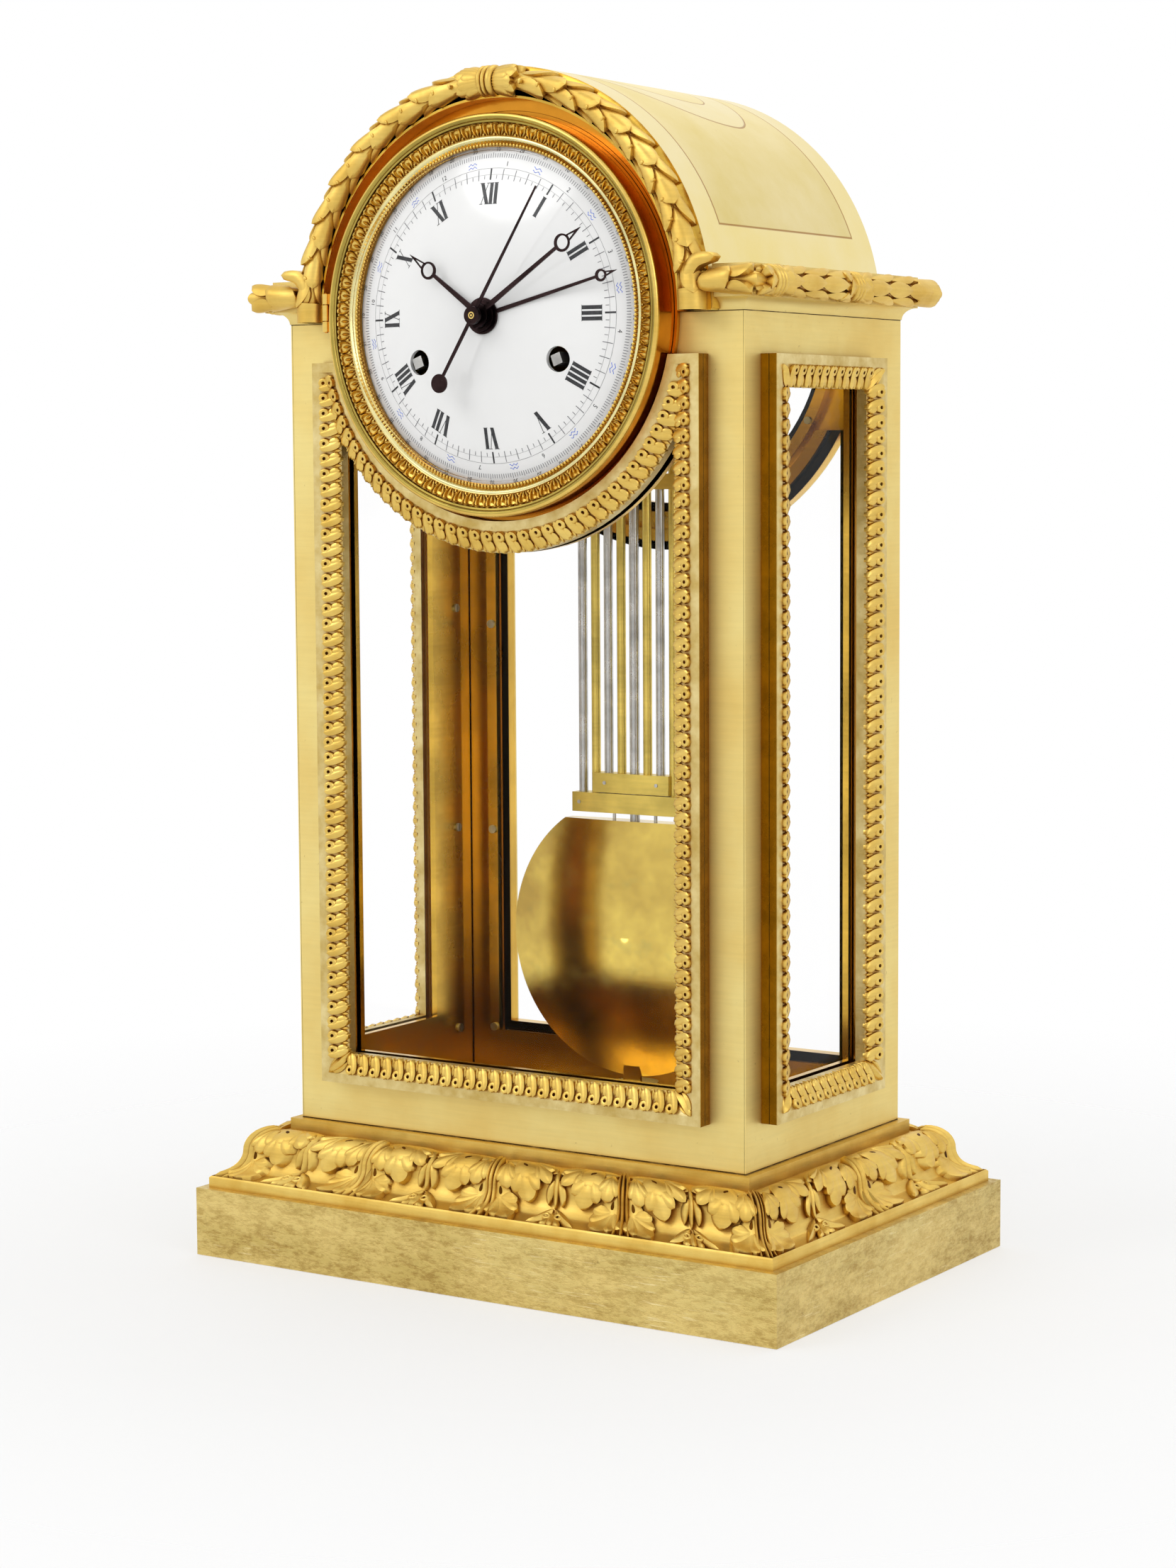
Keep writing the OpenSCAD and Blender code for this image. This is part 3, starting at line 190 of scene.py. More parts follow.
def joined(name, parts, materials, smooth=40):
    """One mesh from several (points, faces) parts, in millimetres."""
    points, faces, start = [], [], 0
    for part_points, part_faces in parts:
        points.append(np.asarray(part_points, float))
        faces.extend([tuple(i + start for i in face) for face in part_faces])
        start += len(part_points)
    return mesh_from(name, np.concatenate(points), faces, materials, smooth)


def mesh_parts(mesh):
    """Points in millimetres and faces of a mesh."""
    points = np.zeros(len(mesh.vertices) * 3)
    mesh.vertices.foreach_get("co", points)
    return points.reshape(-1, 3) / MM, [tuple(p.vertices) for p in mesh.polygons]


def smooth_path(path, share):
    """Points at the given shares of a path of two points, or of a bend through three or more."""
    path = np.asarray(path, float)
    if len(path) == 2:
        return path[0] + np.outer(share, path[1] - path[0])
    if len(path) == 3:
        s = share[:, None]
        return (1 - s) ** 2 * path[0] + 2 * s * (1 - s) * path[1] + s * s * path[2]
    padded = np.vstack([2 * path[0] - path[1], path, 2 * path[-1] - path[-2]])
    spot = share * (len(path) - 1)
    i = np.minimum(spot.astype(int), len(path) - 2)
    s = (spot - i)[:, None]
    a, b, c, d = padded[i], padded[i + 1], padded[i + 2], padded[i + 3]
    return 0.5 * (2 * b + (c - a) * s + (2 * a - 5 * b + 4 * c - d) * s**2
                  + (3 * b - a - 3 * c + d) * s**3)


def ring_faces(count, sides, pointed=False):
    """Faces of a solid of stacked rings of points, which ends in a point or in a flat top."""
    faces = [(low + i, low + (i + 1) % sides, low + sides + (i + 1) % sides, low + sides + i)
             for low in range(0, (count - 1) * sides, sides) for i in range(sides)]
    top = (count - 1) * sides
    if pointed:
        faces += [(top + i, top + (i + 1) % sides, top + sides) for i in range(sides)]
    else:
        faces.append(tuple(range(top, top + sides)))
    return faces + [tuple(reversed(range(sides)))]


def upright(at, rings, sides, tip=None):
    """Round solid on an upright axis from (radius, height) rings, with a tip or a flat top."""
    angles = [2 * math.pi * i / sides for i in range(sides)]
    points = [(at[0] + radius * math.cos(a), at[1] + radius * math.sin(a), z)
              for radius, z in rings for a in angles]
    if tip is not None:
        points.append((at[0], at[1], tip))
    return np.array(points), ring_faces(len(rings), sides, tip is not None)


def without_doubles(points, faces):
    """The points, with faces that use one of the points at each place and have no empty edge."""
    firsts = {}
    same = [firsts.setdefault(tuple(np.round(point, 4)), k) for k, point in enumerate(points)]
    kept = []
    for face in faces:
        ring = []
        for k in face:
            if not ring or ring[-1] != same[k]:
                ring.append(same[k])
        if len(ring) > 1 and ring[0] == ring[-1]:
            ring.pop()
        if len(set(ring)) > 2:
            kept.append(tuple(ring))
    return points, kept


class Carving:
    """Leaves, ridges and berries, drawn as (along, across, height) and closed underneath."""

    def __init__(self):
        self.parts = []

    def leaf(self, path, width, crown, root=0.0, tip=0.4, vein=0.0, rows=10, cols=6,
             widest=0.42, point=0.7, strap=False, sink=0.7):
        """A leaf along a bent path, with a crown, a vein and a lifted tip."""
        share = np.linspace(0, 1, rows + 1)
        axis = smooth_path(path, share)
        along = np.gradient(axis, axis=0)
        along /= np.maximum(np.linalg.norm(along, axis=1, keepdims=True), 1e-6)
        across = np.stack([-along[:, 1], along[:, 0]], 1)
        if strap:
            shape = np.ones(rows + 1)
        else:
            power = math.log(0.5) / math.log(widest)
            shape = np.sin(np.pi * share**power) ** point
        half = np.maximum(width / 2 * shape, 0.04)
        side = np.linspace(-1, 1, cols + 1)
        flat = axis[:, None, :] + across[:, None, :] * (half[:, None] * side[None, :])[:, :, None]
        arch = 1 - side[None, :] ** 2
        if strap:
            body = crown * np.sqrt(np.maximum(arch, 0)) * np.ones((rows + 1, 1))
        else:
            body = crown * arch * np.minimum(1, shape * 1.2)[:, None]
        ridge = vein * np.exp(-((side / 0.2) ** 2))[None, :] * np.minimum(1, shape * 2)[:, None]
        height = root + (tip - root) * share[:, None] + body + ridge
        grid = np.pad(np.dstack([flat, height]), ((1, 1), (1, 1), (0, 0)), mode="edge")
        for edge in (grid[0], grid[-1], grid[:, 0], grid[:, -1]):
            edge[:, 2] = -sink
        m, n = grid.shape[:2]
        at = np.arange(m * n).reshape(m, n)
        faces = [(at[i, j], at[i + 1, j], at[i + 1, j + 1], at[i, j + 1])
                 for i in range(m - 1) for j in range(n - 1)]
        loop = (list(at[:, 0]) + list(at[-1, 1:]) + list(at[-2::-1, -1]) + list(at[0, -2:0:-1]))
        faces.append(tuple(reversed(loop)))
        self.parts.append(without_doubles(grid.reshape(-1, 3), faces))

    def berry(self, at, radius, top, sides=8):
        """A round berry, its top at a given height."""
        rings = [(radius, -0.7), (radius, top - radius), (radius * 0.72, top - 0.3 * radius)]
        self.parts.append(upright(at, rings, sides, top))

    def eyelet(self, at, radius, hole, top, sides=9):
        """A rounded scroll with a hole sunk in its middle."""
        rings = [(radius, -0.7), (radius, top * 0.5), (radius * 0.84, top * 0.9),
                 (radius * 0.6, top), (hole * 1.15, top * 0.9), (hole, top * 0.5), (hole, -0.2)]
        self.parts.append(upright(at, rings, sides))

    def laid(self, surface):
        """The parts laid on a surface, a function of an array of (along, across, height)."""
        return [(surface(points), faces) for points, faces in self.parts]


def turned(profile, sides=240, start=0.0, end=360.0):
    """Closed ring about the dial axis from a closed outline of (radius, y), in millimetres."""
    full = abs(end - start) >= 360
    count = sides if full else sides + 1
    angle = np.radians(start + (end - start) * np.arange(count) / sides)
    profile = np.asarray(profile, float)
    n = len(profile)
    points = np.stack([np.outer(np.sin(angle), profile[:, 0]),
                       np.tile(profile[:, 1], (count, 1)),
                       DIAL_Z + np.outer(np.cos(angle), profile[:, 0])], 2).reshape(-1, 3)
    faces = []
    for i in range(sides):
        a, b = i * n, ((i + 1) % count) * n
        faces += [(a + j, a + (j + 1) % n, b + (j + 1) % n, b + j) for j in range(n)]
    if not full:
        faces += [tuple(reversed(range(n))), tuple((count - 1) * n + j for j in range(n))]
    area = sum(profile[j, 0] * profile[(j + 1) % n, 1] - profile[(j + 1) % n, 0] * profile[j, 1]
               for j in range(n))
    if area > 0:
        faces = [tuple(reversed(face)) for face in faces]
    return points, faces


def swept(corners, profile, closed):
    """Moulding of an outline of (out, z) along plan corners of (x, y, out-x, out-y)."""
    profile = np.asarray(profile, float)
    n, m = len(profile), len(corners)
    points = [(x + ox * out, y + oy * out, z) for x, y, ox, oy in corners for out, z in profile]
    faces = []
    for i in range(m if closed else m - 1):
        a, b = i * n, ((i + 1) % m) * n
        faces += [(a + j, b + j, b + (j + 1) % n, a + (j + 1) % n) for j in range(n)]
    if not closed:
        faces += [tuple(range(n)), tuple((m - 1) * n + j for j in reversed(range(n)))]
    points = np.array(points)
    volume = 0.0
    for face in faces:
        for k in range(1, len(face) - 1):
            volume += np.dot(points[face[0]], np.cross(points[face[k]], points[face[k + 1]]))
    if volume < 0:
        faces = [tuple(reversed(face)) for face in faces]
    return points, faces


# Geometry Nodes trees


def tree_input(tree, name, kind, value=None):
    """Named input of a node tree."""
    socket = tree.interface.new_socket(name=name, in_out="INPUT", socket_type=kind)
    if value is not None:
        socket.default_value = value
    return socket


def repeat_tree(name, ring):
    """Tree that repeats the piece round an axis along Y, or along a line."""
    tree = bpy.data.node_groups.get(name)
    if tree is not None:
        return tree
    tree = bpy.data.node_groups.new(name, "GeometryNodeTree")
    tree_input(tree, "Geometry", "NodeSocketGeometry")
    tree_input(tree, "Count", "NodeSocketInt", 1)
    tree_input(tree, "Start", "NodeSocketVector")
    tree_input(tree, "Step", "NodeSocketVector")
    tree_input(tree, "Turn", "NodeSocketVector")
    tree_input(tree, "Material", "NodeSocketMaterial")
    tree.interface.new_socket(name="Geometry", in_out="OUTPUT", socket_type="NodeSocketGeometry")
    add, link = tree.nodes.new, tree.links.new
    given = add("NodeGroupInput")
    index = add("GeometryNodeInputIndex")
    spots = add("GeometryNodePoints")
    moved = add("ShaderNodeVectorMath")
    moved.operation = "SCALE"
    total = add("ShaderNodeVectorMath")
    place = add("GeometryNodeInstanceOnPoints")
    real = add("GeometryNodeRealizeInstances")
    paint = add("GeometryNodeSetMaterial")
    result = add("NodeGroupOutput")
    link(given.outputs["Step"], moved.inputs[0])
    link(index.outputs[0], moved.inputs["Scale"])
    link(moved.outputs[0], total.inputs[0])
    link(given.outputs["Turn" if ring else "Start"], total.inputs[1])
    link(given.outputs["Count"], spots.inputs["Count"])
    if ring:
        link(given.outputs["Start"], spots.inputs["Position"])
        link(total.outputs[0], place.inputs["Rotation"])
    else:
        link(total.outputs[0], spots.inputs["Position"])
        link(given.outputs["Turn"], place.inputs["Rotation"])
    link(spots.outputs[0], place.inputs["Points"])
    link(given.outputs["Geometry"], place.inputs["Instance"])
    link(place.outputs[0], real.inputs[0])
    link(real.outputs[0], paint.inputs["Geometry"])
    link(given.outputs["Material"], paint.inputs["Material"])
    link(paint.outputs[0], result.inputs[0])
    return tree


def repeated(unit, ring, material, count, start, step, turn=(0, 0, 0)):
    """Points and faces of a unit of (points, faces) parts, repeated by Geometry Nodes."""
    mesh = joined("unit", unit, [material])
    piece = add_object("unit_on_bench", mesh)
    tree = repeat_tree("repeat_round_dial" if ring else "repeat_along_line", ring)
    modifier = piece.modifiers.new("repeat", "NODES")
    modifier.node_group = tree
    values = {"Count": count, "Start": Vector(start) * MM, "Turn": Vector(turn),
              "Step": Vector(step) if ring else Vector(step) * MM, "Material": material}
    for socket in tree.interface.items_tree:
        if socket.in_out == "INPUT" and socket.name in values:
            modifier[socket.identifier] = values[socket.name]
    bpy.context.view_layer.update()
    graph = bpy.context.evaluated_depsgraph_get()
    result = bpy.data.meshes.new_from_object(piece.evaluated_get(graph), depsgraph=graph)
    parts = mesh_parts(result)
    piece.modifiers.clear()
    bpy.data.objects.remove(piece)
    bpy.data.meshes.remove(mesh)
    bpy.data.meshes.remove(result)
    return parts


def row_turn(along, across):
    """Turn that lays a unit's along and across on the given directions."""
    x, y = Vector(along), Vector(across)
    return Matrix((x, y, x.cross(y))).transposed().to_euler()


# Shader groups and materials


class Shader:
    """Short calls for adding and joining nodes of a material or a shader group."""

    def __init__(self, tree):
        self.tree = tree

    def node(self, kind, settings=None, **inputs):
        """Node with its settings and inputs, given by name or, as _0 and on, by number."""
        node = self.tree.nodes.new(kind)
        for name, value in (settings or {}).items():
            setattr(node, name, value)
        for name, value in inputs.items():
            self.put(node.inputs[int(name[1:]) if name[0] == "_" else name.replace("_", " ")],
                     value)
        return node

    def put(self, socket, value):
        """Links an output to a socket, or sets its value."""
        if isinstance(value, bpy.types.NodeSocket):
            self.tree.links.new(value, socket)
        else:
            socket.default_value = value

    def math(self, operation, a, b=0.0, clamp=False):
        """Result of a sum on two values."""
        node = self.node("ShaderNodeMath", {"operation": operation, "use_clamp": clamp}, _0=a, _1=b)
        return node.outputs[0]

    def mix(self, factor, a, b, kind="MIX"):
        """Colour between two colours."""
        node = self.node("ShaderNodeMix", {"data_type": "RGBA", "blend_type": kind})
        self.put(node.inputs[0], factor)
        self.put(node.inputs[6], a)
        self.put(node.inputs[7], b)
        return node.outputs[2]

    def span(self, value, low, high, to_low=0.0, to_high=1.0):
        """Value carried from one range to another and held inside it."""
        node = self.node("ShaderNodeMapRange", {"clamp": True}, Value=value)
        for name, number in (("From Min", low), ("From Max", high),
                             ("To Min", to_low), ("To Max", to_high)):
            node.inputs[name].default_value = number
        return node.outputs[0]

    def noise(self, vector, scale, detail=4.0, rough=0.55):
        """Cloudy value between 0 and 1."""
        node = self.node("ShaderNodeTexNoise", Vector=vector, Scale=scale, Detail=detail,
                         Roughness=rough)
        return node.outputs[0]

    def stretch(self, vector, scale):
        """Coordinates scaled by axis."""
        return self.node("ShaderNodeMapping", Vector=vector, Scale=scale).outputs[0]


def shader_group(name, inputs, outputs):
    """Empty shader group with its named inputs of (name, kind, value) and float outputs."""
    tree = bpy.data.node_groups.new(name, "ShaderNodeTree")
    for label, kind, value in inputs:
        tree_input(tree, label, kind, value)
    for label in outputs:
        tree.interface.new_socket(name=label, in_out="OUTPUT", socket_type="NodeSocketFloat")
    return tree


def patina_group():
    """Blotches, specks, brushing and surface height for gilding and brass."""
    tree = bpy.data.node_groups.get("patina")
    if tree is not None:
        return tree
    tree = shader_group("patina", (("Vector", "NodeSocketVector", None),
                                   ("Blotch Scale", "NodeSocketFloat", 40.0),
                                   ("Speck Scale", "NodeSocketFloat", 600.0),
                                   ("Brush Scale", "NodeSocketFloat", 900.0)),
                        ("Blotch", "Specks", "Brushing", "Height"))
    s = Shader(tree)
    given = tree.nodes.new("NodeGroupInput").outputs
    blotch = s.span(s.noise(given["Vector"], given["Blotch Scale"], 6.0, 0.6), 0.32, 0.68)
    speck = s.span(s.noise(given["Vector"], given["Speck Scale"], 3.0, 0.7), 0.66, 0.80)
    gate = s.span(s.noise(given["Vector"], given["Blotch Scale"], 2.0, 0.5), 0.42, 0.66)
    brush = s.noise(s.stretch(given["Vector"], (0.05, 0.05, 1.0)), given["Brush Scale"], 3.0, 0.6)
    grain = s.noise(given["Vector"], s.math("MULTIPLY", given["Speck Scale"], 2.0), 2.0, 0.6)
    height = s.math("ADD", s.math("MULTIPLY", brush, 0.6), s.math("MULTIPLY", grain, 0.4))
    s.node("NodeGroupOutput", Blotch=blotch, Specks=s.math("MULTIPLY", speck, gate),
           Brushing=brush, Height=height)
    return tree


def painted_shade_group():
    """Mask of painted shade, from ambient occlusion, in the hollows of carving and in inner
    corners.
    """
    tree = bpy.data.node_groups.get("hollows")
    if tree is not None:
        return tree
    tree = shader_group("hollows", (("Reach", "NodeSocketFloat", 0.003),), ("Hollow",))
    s = Shader(tree)
    given = tree.nodes.new("NodeGroupInput").outputs
    shade = s.node("ShaderNodeAmbientOcclusion", {"samples": 6}, Distance=given["Reach"])
    s.node("NodeGroupOutput", Hollow=s.span(shade.outputs["AO"], 0.75, 0.25))
    return tree


def start_material(name):
    """New material with its shader calls, its Principled shader and object coordinates."""
    material = bpy.data.materials.new(name)
    material.use_nodes = True
    tree = material.node_tree
    s = Shader(tree)
    principled = tree.nodes["Principled BSDF"]
    place = tree.nodes.new("ShaderNodeTexCoord").outputs["Object"]
    return material, s, principled, place


def rgba(colour, share=1.0):
    """Opaque colour for a socket, darkened to a share of itself."""
    return (*(c * share for c in colour[:3]), 1.0)


def worn(s, place, blotch, specks):
    """Outputs of the patina group at the given scales."""
    return s.node("ShaderNodeGroup", {"node_tree": patina_group()}, Vector=place,
                  Blotch_Scale=blotch, Speck_Scale=specks).outputs


def metal(s, shader, colour, roughness, bump, height):
    """Colour, roughness and fine relief of a metal."""
    s.put(shader.inputs["Base Color"], colour)
    s.put(shader.inputs["Roughness"], roughness)
    shader.inputs["Metallic"].default_value = 1.0
    relief = s.node("ShaderNodeBump", Strength=bump, Distance=0.0002, Height=height)
    s.put(shader.inputs["Normal"], relief.outputs[0])


SEAM_COLOUR = (0.035, 0.018, 0.004, 1.0)


def gilding(name, looks, light, dark, rough=0.38, blotch=28.0, specks=650.0, stained=0.5,
            bump=0.15, brushed=0.12, reach=None, zones=(), seams=None):
    """Gilt or polished brass, with blotches, specks, brushing, painted shade in the hollows and
    joint lines.
    """
    material, s, shader, place = start_material(name)
    patina = worn(s, place, blotch, specks)
    colour = s.mix(patina["Blotch"], rgba(dark), rgba(light))
    streak = s.span(patina["Brushing"], 0.3, 0.7, 1 - brushed, 1.0)
    colour = s.mix(1.0, colour, s.node("ShaderNodeCombineColor", _0=streak, _1=streak,
                                       _2=streak).outputs[0], "MULTIPLY")
    marks = s.math("MULTIPLY", patina["Specks"], stained, True)
    colour = s.mix(marks, colour, rgba(looks.stain))
    roughness = s.span(patina["Blotch"], 0, 1, rough + 0.08, rough - 0.04)
    for zone in zones:
        mask, zone_colour, zone_rough = zone(s, place)
        clouded = s.mix(patina["Blotch"], rgba(zone_colour, 0.6), rgba(zone_colour))
        colour = s.mix(mask, colour, clouded)
        roughness = s.math("ADD", roughness, s.math("MULTIPLY", mask, zone_rough - rough))
    # Painted shade: hollows and inner corners are darkened towards the hollow colour where ambient
    # occlusion finds them.
    if reach is not None:
        deep = s.node("ShaderNodeGroup", {"node_tree": painted_shade_group()}, Reach=reach).outputs[0]
        colour = s.mix(s.math("MULTIPLY", deep, 0.85), colour, rgba(looks.hollow))
    height = patina["Height"]
    if seams is not None:
        gap = s.math("MULTIPLY", seams(s, place),
                     s.span(s.noise(place, 160.0, 2.0), 0.25, 0.5, 0.55, 1.0))
        colour = s.mix(gap, colour, SEAM_COLOUR)
        height = s.math("SUBTRACT", height, gap)
    metal(s, shader, colour, roughness, bump, height)
    return material


def thin_line(s, value, middle, width):
    """Mask of a thin line where a value in metres passes a middle given in millimetres."""
    off = s.math("ABSOLUTE", s.math("SUBTRACT", value, middle * MM))
    return s.span(off, width * 0.3 * MM, width * 0.6 * MM, 1.0, 0.0)


def case_seams(s, place):
    """Open joints of the body: over the base, under the cornice and beside the front corners."""
    x, y, z = split_place(s, place)
    low = thin_line(s, z, BASE_TOP + 0.2, 0.42)
    high = thin_line(s, z, CORNICE_LOW - 0.15, 0.3)
    front = s.span(y, (FRONT_Y + 0.3) * MM, (FRONT_Y + 0.1) * MM)
    corner = s.math("MULTIPLY", thin_line(s, s.math("ABSOLUTE", x), HALF_W - 0.5, 0.2), front)
    below = s.span(z, (CORNICE_LOW + 0.2) * MM, CORNICE_LOW * MM)
    corner = s.math("MULTIPLY", corner, below)
    return s.math("MAXIMUM", s.math("MAXIMUM", low, high), s.math("MULTIPLY", corner, 0.7))


def frame_seams(s, place):
    """Joint in the middle of the outer edges of the window frames."""
    x, y, _ = split_place(s, place)
    front = thin_line(s, y, (FRAME_LOW[1] + FRONT_Y) / 2, 0.3)
    front = s.math("MULTIPLY", front, s.span(s.math("ABSOLUTE", x), (FRAME_HIGH[0] - 0.5) * MM,
                                             (FRAME_HIGH[0] - 0.3) * MM))
    side = thin_line(s, s.math("ABSOLUTE", x), (SIDE_HIGH[0] + HALF_W) / 2, 0.3)
    edge = off_middle(s, y, SIDE_LOW[1], SIDE_HIGH[1])
    half = (SIDE_HIGH[1] - SIDE_LOW[1]) / 2
    side = s.math("MULTIPLY", side, s.span(edge, (half - 0.5) * MM, (half - 0.3) * MM))
    return s.math("MAXIMUM", front, side)


def split_place(s, place):
    """The three coordinates of a place."""
    parts = s.node("ShaderNodeSeparateXYZ", Vector=place).outputs
    return parts[0], parts[1], parts[2]


def dial_radius(s, place):
    """Distance of a place from the axis of the dial."""
    x, _, z = split_place(s, place)
    up = s.math("SUBTRACT", z, DIAL_Z * MM)
    return s.math("SQRT", s.math("ADD", s.math("MULTIPLY", x, x), s.math("MULTIPLY", up, up)))


def off_middle(s, value, low, high):
    """Distance of a value in metres from the middle between two values in millimetres."""
    return s.math("ABSOLUTE", s.math("SUBTRACT", value, (low + high) / 2 * MM))


def inside_zone(colour, rough):
    """Dark polished finish on the inner faces of the case."""
    def zone(s, place):
        x, y, z = split_place(s, place)
        in_x = s.span(s.math("ABSOLUTE", x), (HALF_W - 0.4) * MM, (HALF_W - 0.9) * MM)
        in_y = s.span(s.math("ABSOLUTE", y), (HALF_D - 0.4) * MM, (HALF_D - 0.9) * MM)
        low = s.span(z, (DIAL_Z + 0.2) * MM, (DIAL_Z - 0.2) * MM)
        return s.math("MULTIPLY", s.math("MULTIPLY", in_x, in_y), low), colour, rough
    return zone


def frame_edge_zone(colour, rough):
    """Dark polished finish on the outer edges of the window frames."""
    def zone(s, place):
        x, y, z = split_place(s, place)
        side = s.math("MULTIPLY",
                      s.span(s.math("ABSOLUTE", x), (SIDE_HIGH[0] - 0.1) * MM,
                             (SIDE_HIGH[0] - 0.4) * MM),
                      s.span(s.math("ABSOLUTE", x), (HALF_W - 0.5) * MM, HALF_W * MM))
        front = s.math("MULTIPLY",
                       s.span(y, (FRAME_LOW[1] + 0.1) * MM, (FRAME_LOW[1] + 0.4) * MM),
                       s.span(y, (FRONT_Y + 0.5) * MM, FRONT_Y * MM))
        side_rim = s.math("GREATER_THAN", off_middle(s, y, SIDE_LOW[1], SIDE_HIGH[1]),
                          ((SIDE_HIGH[1] - SIDE_LOW[1]) / 2 - 0.4) * MM)
        front_rim = s.math("GREATER_THAN", s.math("ABSOLUTE", x), (FRAME_HIGH[0] - 0.4) * MM)
        ends = s.math("GREATER_THAN", off_middle(s, z, FRAME_LOW[2], FRAME_HIGH[2]),
                      ((FRAME_HIGH[2] - FRAME_LOW[2]) / 2 - 0.4) * MM)
        a = s.math("MULTIPLY", side, s.math("MAXIMUM", side_rim, ends))
        b = s.math("MULTIPLY", front, s.math("MAXIMUM", front_rim, ends))
        return s.math("MAXIMUM", a, b), colour, rough
    return zone


def recess_zone(colour, rough):
    """Orange polished finish of the ring round the bezel and of the drum of the bezel."""
    def zone(s, place):
        radius = dial_radius(s, place)
        near = s.span(radius, (VAULT_R - 9.6) * MM, (VAULT_R - 10.2) * MM)
        far = s.span(radius, (BEZEL_R - 0.3) * MM, (BEZEL_R - 0.1) * MM)
        deep = s.span(split_place(s, place)[1], (BEZEL_FRONT + 1.0) * MM,
                      (BEZEL_FRONT + 1.6) * MM)
        return s.math("MULTIPLY", s.math("MULTIPLY", near, far), deep), colour, rough
    return zone


def ring_zone(inner, outer, colour, rough):
    """Finish of a ring of the bezel between two radii from the middle of the dial."""
    def zone(s, place):
        radius = dial_radius(s, place)
        mask = s.math("MULTIPLY", s.span(radius, (inner - 0.1) * MM, (inner + 0.1) * MM),
                      s.span(radius, (outer + 0.1) * MM, (outer - 0.1) * MM))
        return mask, colour, rough
    return zone


def vault_material(name, looks):
    """Gilding lightened towards white as painted light from above, with an engraved matte panel and
    nested rounded outlines at the crown.
    """
    material, s, shader, place = start_material(name)
    x, y, z = split_place(s, place)
    angle = s.math("ABSOLUTE", s.math("ARCTAN2", x, s.math("SUBTRACT", z, DIAL_Z * MM)))
    arc = s.math("MULTIPLY", angle, VAULT_R * MM)
    outer = s.math("MAXIMUM",
                   s.math("SUBTRACT", arc, math.radians(PANEL_TURN) * VAULT_R * MM),
                   s.math("SUBTRACT", s.math("ABSOLUTE", y), PANEL_HALF * MM))
    line = s.span(s.math("ABSOLUTE", outer), 0.00022, 0.00045, 1.0, 0.0)
    tongues = []
    for half_turn, middle, back, front in TONGUES:
        off = s.math("SUBTRACT", y, middle * MM)
        length = s.span(off, -0.00001, 0.00001, front * MM, back * MM)
        wide = s.math("DIVIDE", arc, math.radians(half_turn) * VAULT_R * MM)
        reach = s.math("SQRT", s.math("ADD", s.math("POWER", wide, 2.0),
                                      s.math("POWER", s.math("DIVIDE", off, length), 2.0)))
        tongue = s.math("MULTIPLY", s.math("SUBTRACT", reach, 1.0), 0.036)
        tongues.append(tongue)
        line = s.math("MAXIMUM", line, s.span(s.math("ABSOLUTE", tongue), 0.0002, 0.0004, 0.9,
                                              0.0))
    between = s.math("MULTIPLY", s.span(tongues[0], 0.0001, -0.0001),
                     s.span(tongues[1], -0.0001, 0.0001))
    panel = s.math("MULTIPLY", s.span(outer, 0.0001, -0.0001), s.math("SUBTRACT", 1.0, between))
    patina = worn(s, place, 22.0, 500.0)
    # Painted light: the plain and matte gilding of the vault are lightened towards white because it
    # is lit from above.
    pale = [c + (1 - c) * 0.22 for c in looks.body_gilt]
    plain = s.mix(patina["Blotch"], rgba(looks.body_gilt), rgba(pale))
    matte = s.mix(patina["Blotch"], rgba(looks.body_gilt, 0.86), rgba(pale, 0.92))
    colour = s.mix(panel, plain, matte)
    colour = s.mix(s.math("MULTIPLY", patina["Specks"], 0.4), colour, rgba(looks.stain))
    colour = s.mix(s.math("MULTIPLY", line, 0.75), colour, rgba(looks.hollow))
    height = s.math("SUBTRACT", s.math("MULTIPLY", patina["Height"], 0.3), line)
    metal(s, shader, colour, s.span(panel, 0, 1, 0.34, 0.52), 0.4, height)
    return material


def steel_material(name, light, rough, shade=0.6, pitted=0.3):
    """Bright or blued steel, clouded and finely pitted."""
    material, s, shader, place = start_material(name)
    patina = worn(s, place, 90.0, 900.0)
    colour = s.mix(patina["Blotch"], rgba(light, shade), rgba(light))
    colour = s.mix(s.math("MULTIPLY", patina["Specks"], 0.6), colour, (0.06, 0.05, 0.04, 1.0))
    metal(s, shader, colour, s.span(patina["Blotch"], 0, 1, rough + 0.1, rough), pitted,
          patina["Height"])
    return material


def enamel_material(name, looks):
    """White enamel, faintly clouded, with the shine of glass."""
    material, s, shader, place = start_material(name)
    cloud = s.noise(place, 30.0, 3.0)
    s.put(shader.inputs["Base Color"], s.mix(s.span(cloud, 0.3, 0.7), rgba(looks.enamel, 0.96),
                                             rgba(looks.enamel)))
    s.put(shader.inputs["Roughness"], s.span(cloud, 0.3, 0.7, 0.10, 0.16))
    shader.inputs["Coat Weight"].default_value = 0.4
    return material


def print_material(name, colour):
    """Fired enamel paint, slightly worn."""
    material, s, shader, place = start_material(name)
    fade = s.span(s.noise(place, 900.0, 2.0), 0.35, 0.7)
    s.put(shader.inputs["Base Color"], s.mix(fade, rgba(colour),
                                             rgba([min(1, c * 1.5 + 0.01) for c in colour])))
    s.put(shader.inputs["Roughness"], s.span(fade, 0, 1, 0.3, 0.4))
    return material


def glass_material(name, ior):
    """Clear glass that lets lamp light through to what it covers."""
    material, s, shader, place = start_material(name)
    smear = s.noise(place, 60.0, 3.0)
    s.put(shader.inputs["Roughness"], s.span(smear, 0.4, 0.9, 0.0, 0.03))
    shader.inputs["Base Color"].default_value = (1, 1, 1, 1)
    shader.inputs["Transmission Weight"].default_value = 1.0
    shader.inputs["IOR"].default_value = ior
    clear = s.node("ShaderNodeBsdfTransparent")
    ray = s.node("ShaderNodeLightPath").outputs["Is Shadow Ray"]
    both = s.node("ShaderNodeMixShader", _0=ray, _1=shader.outputs[0], _2=clear.outputs[0])
    out = material.node_tree.nodes["Material Output"]
    s.put(out.inputs["Surface"], both.outputs[0])
    return material


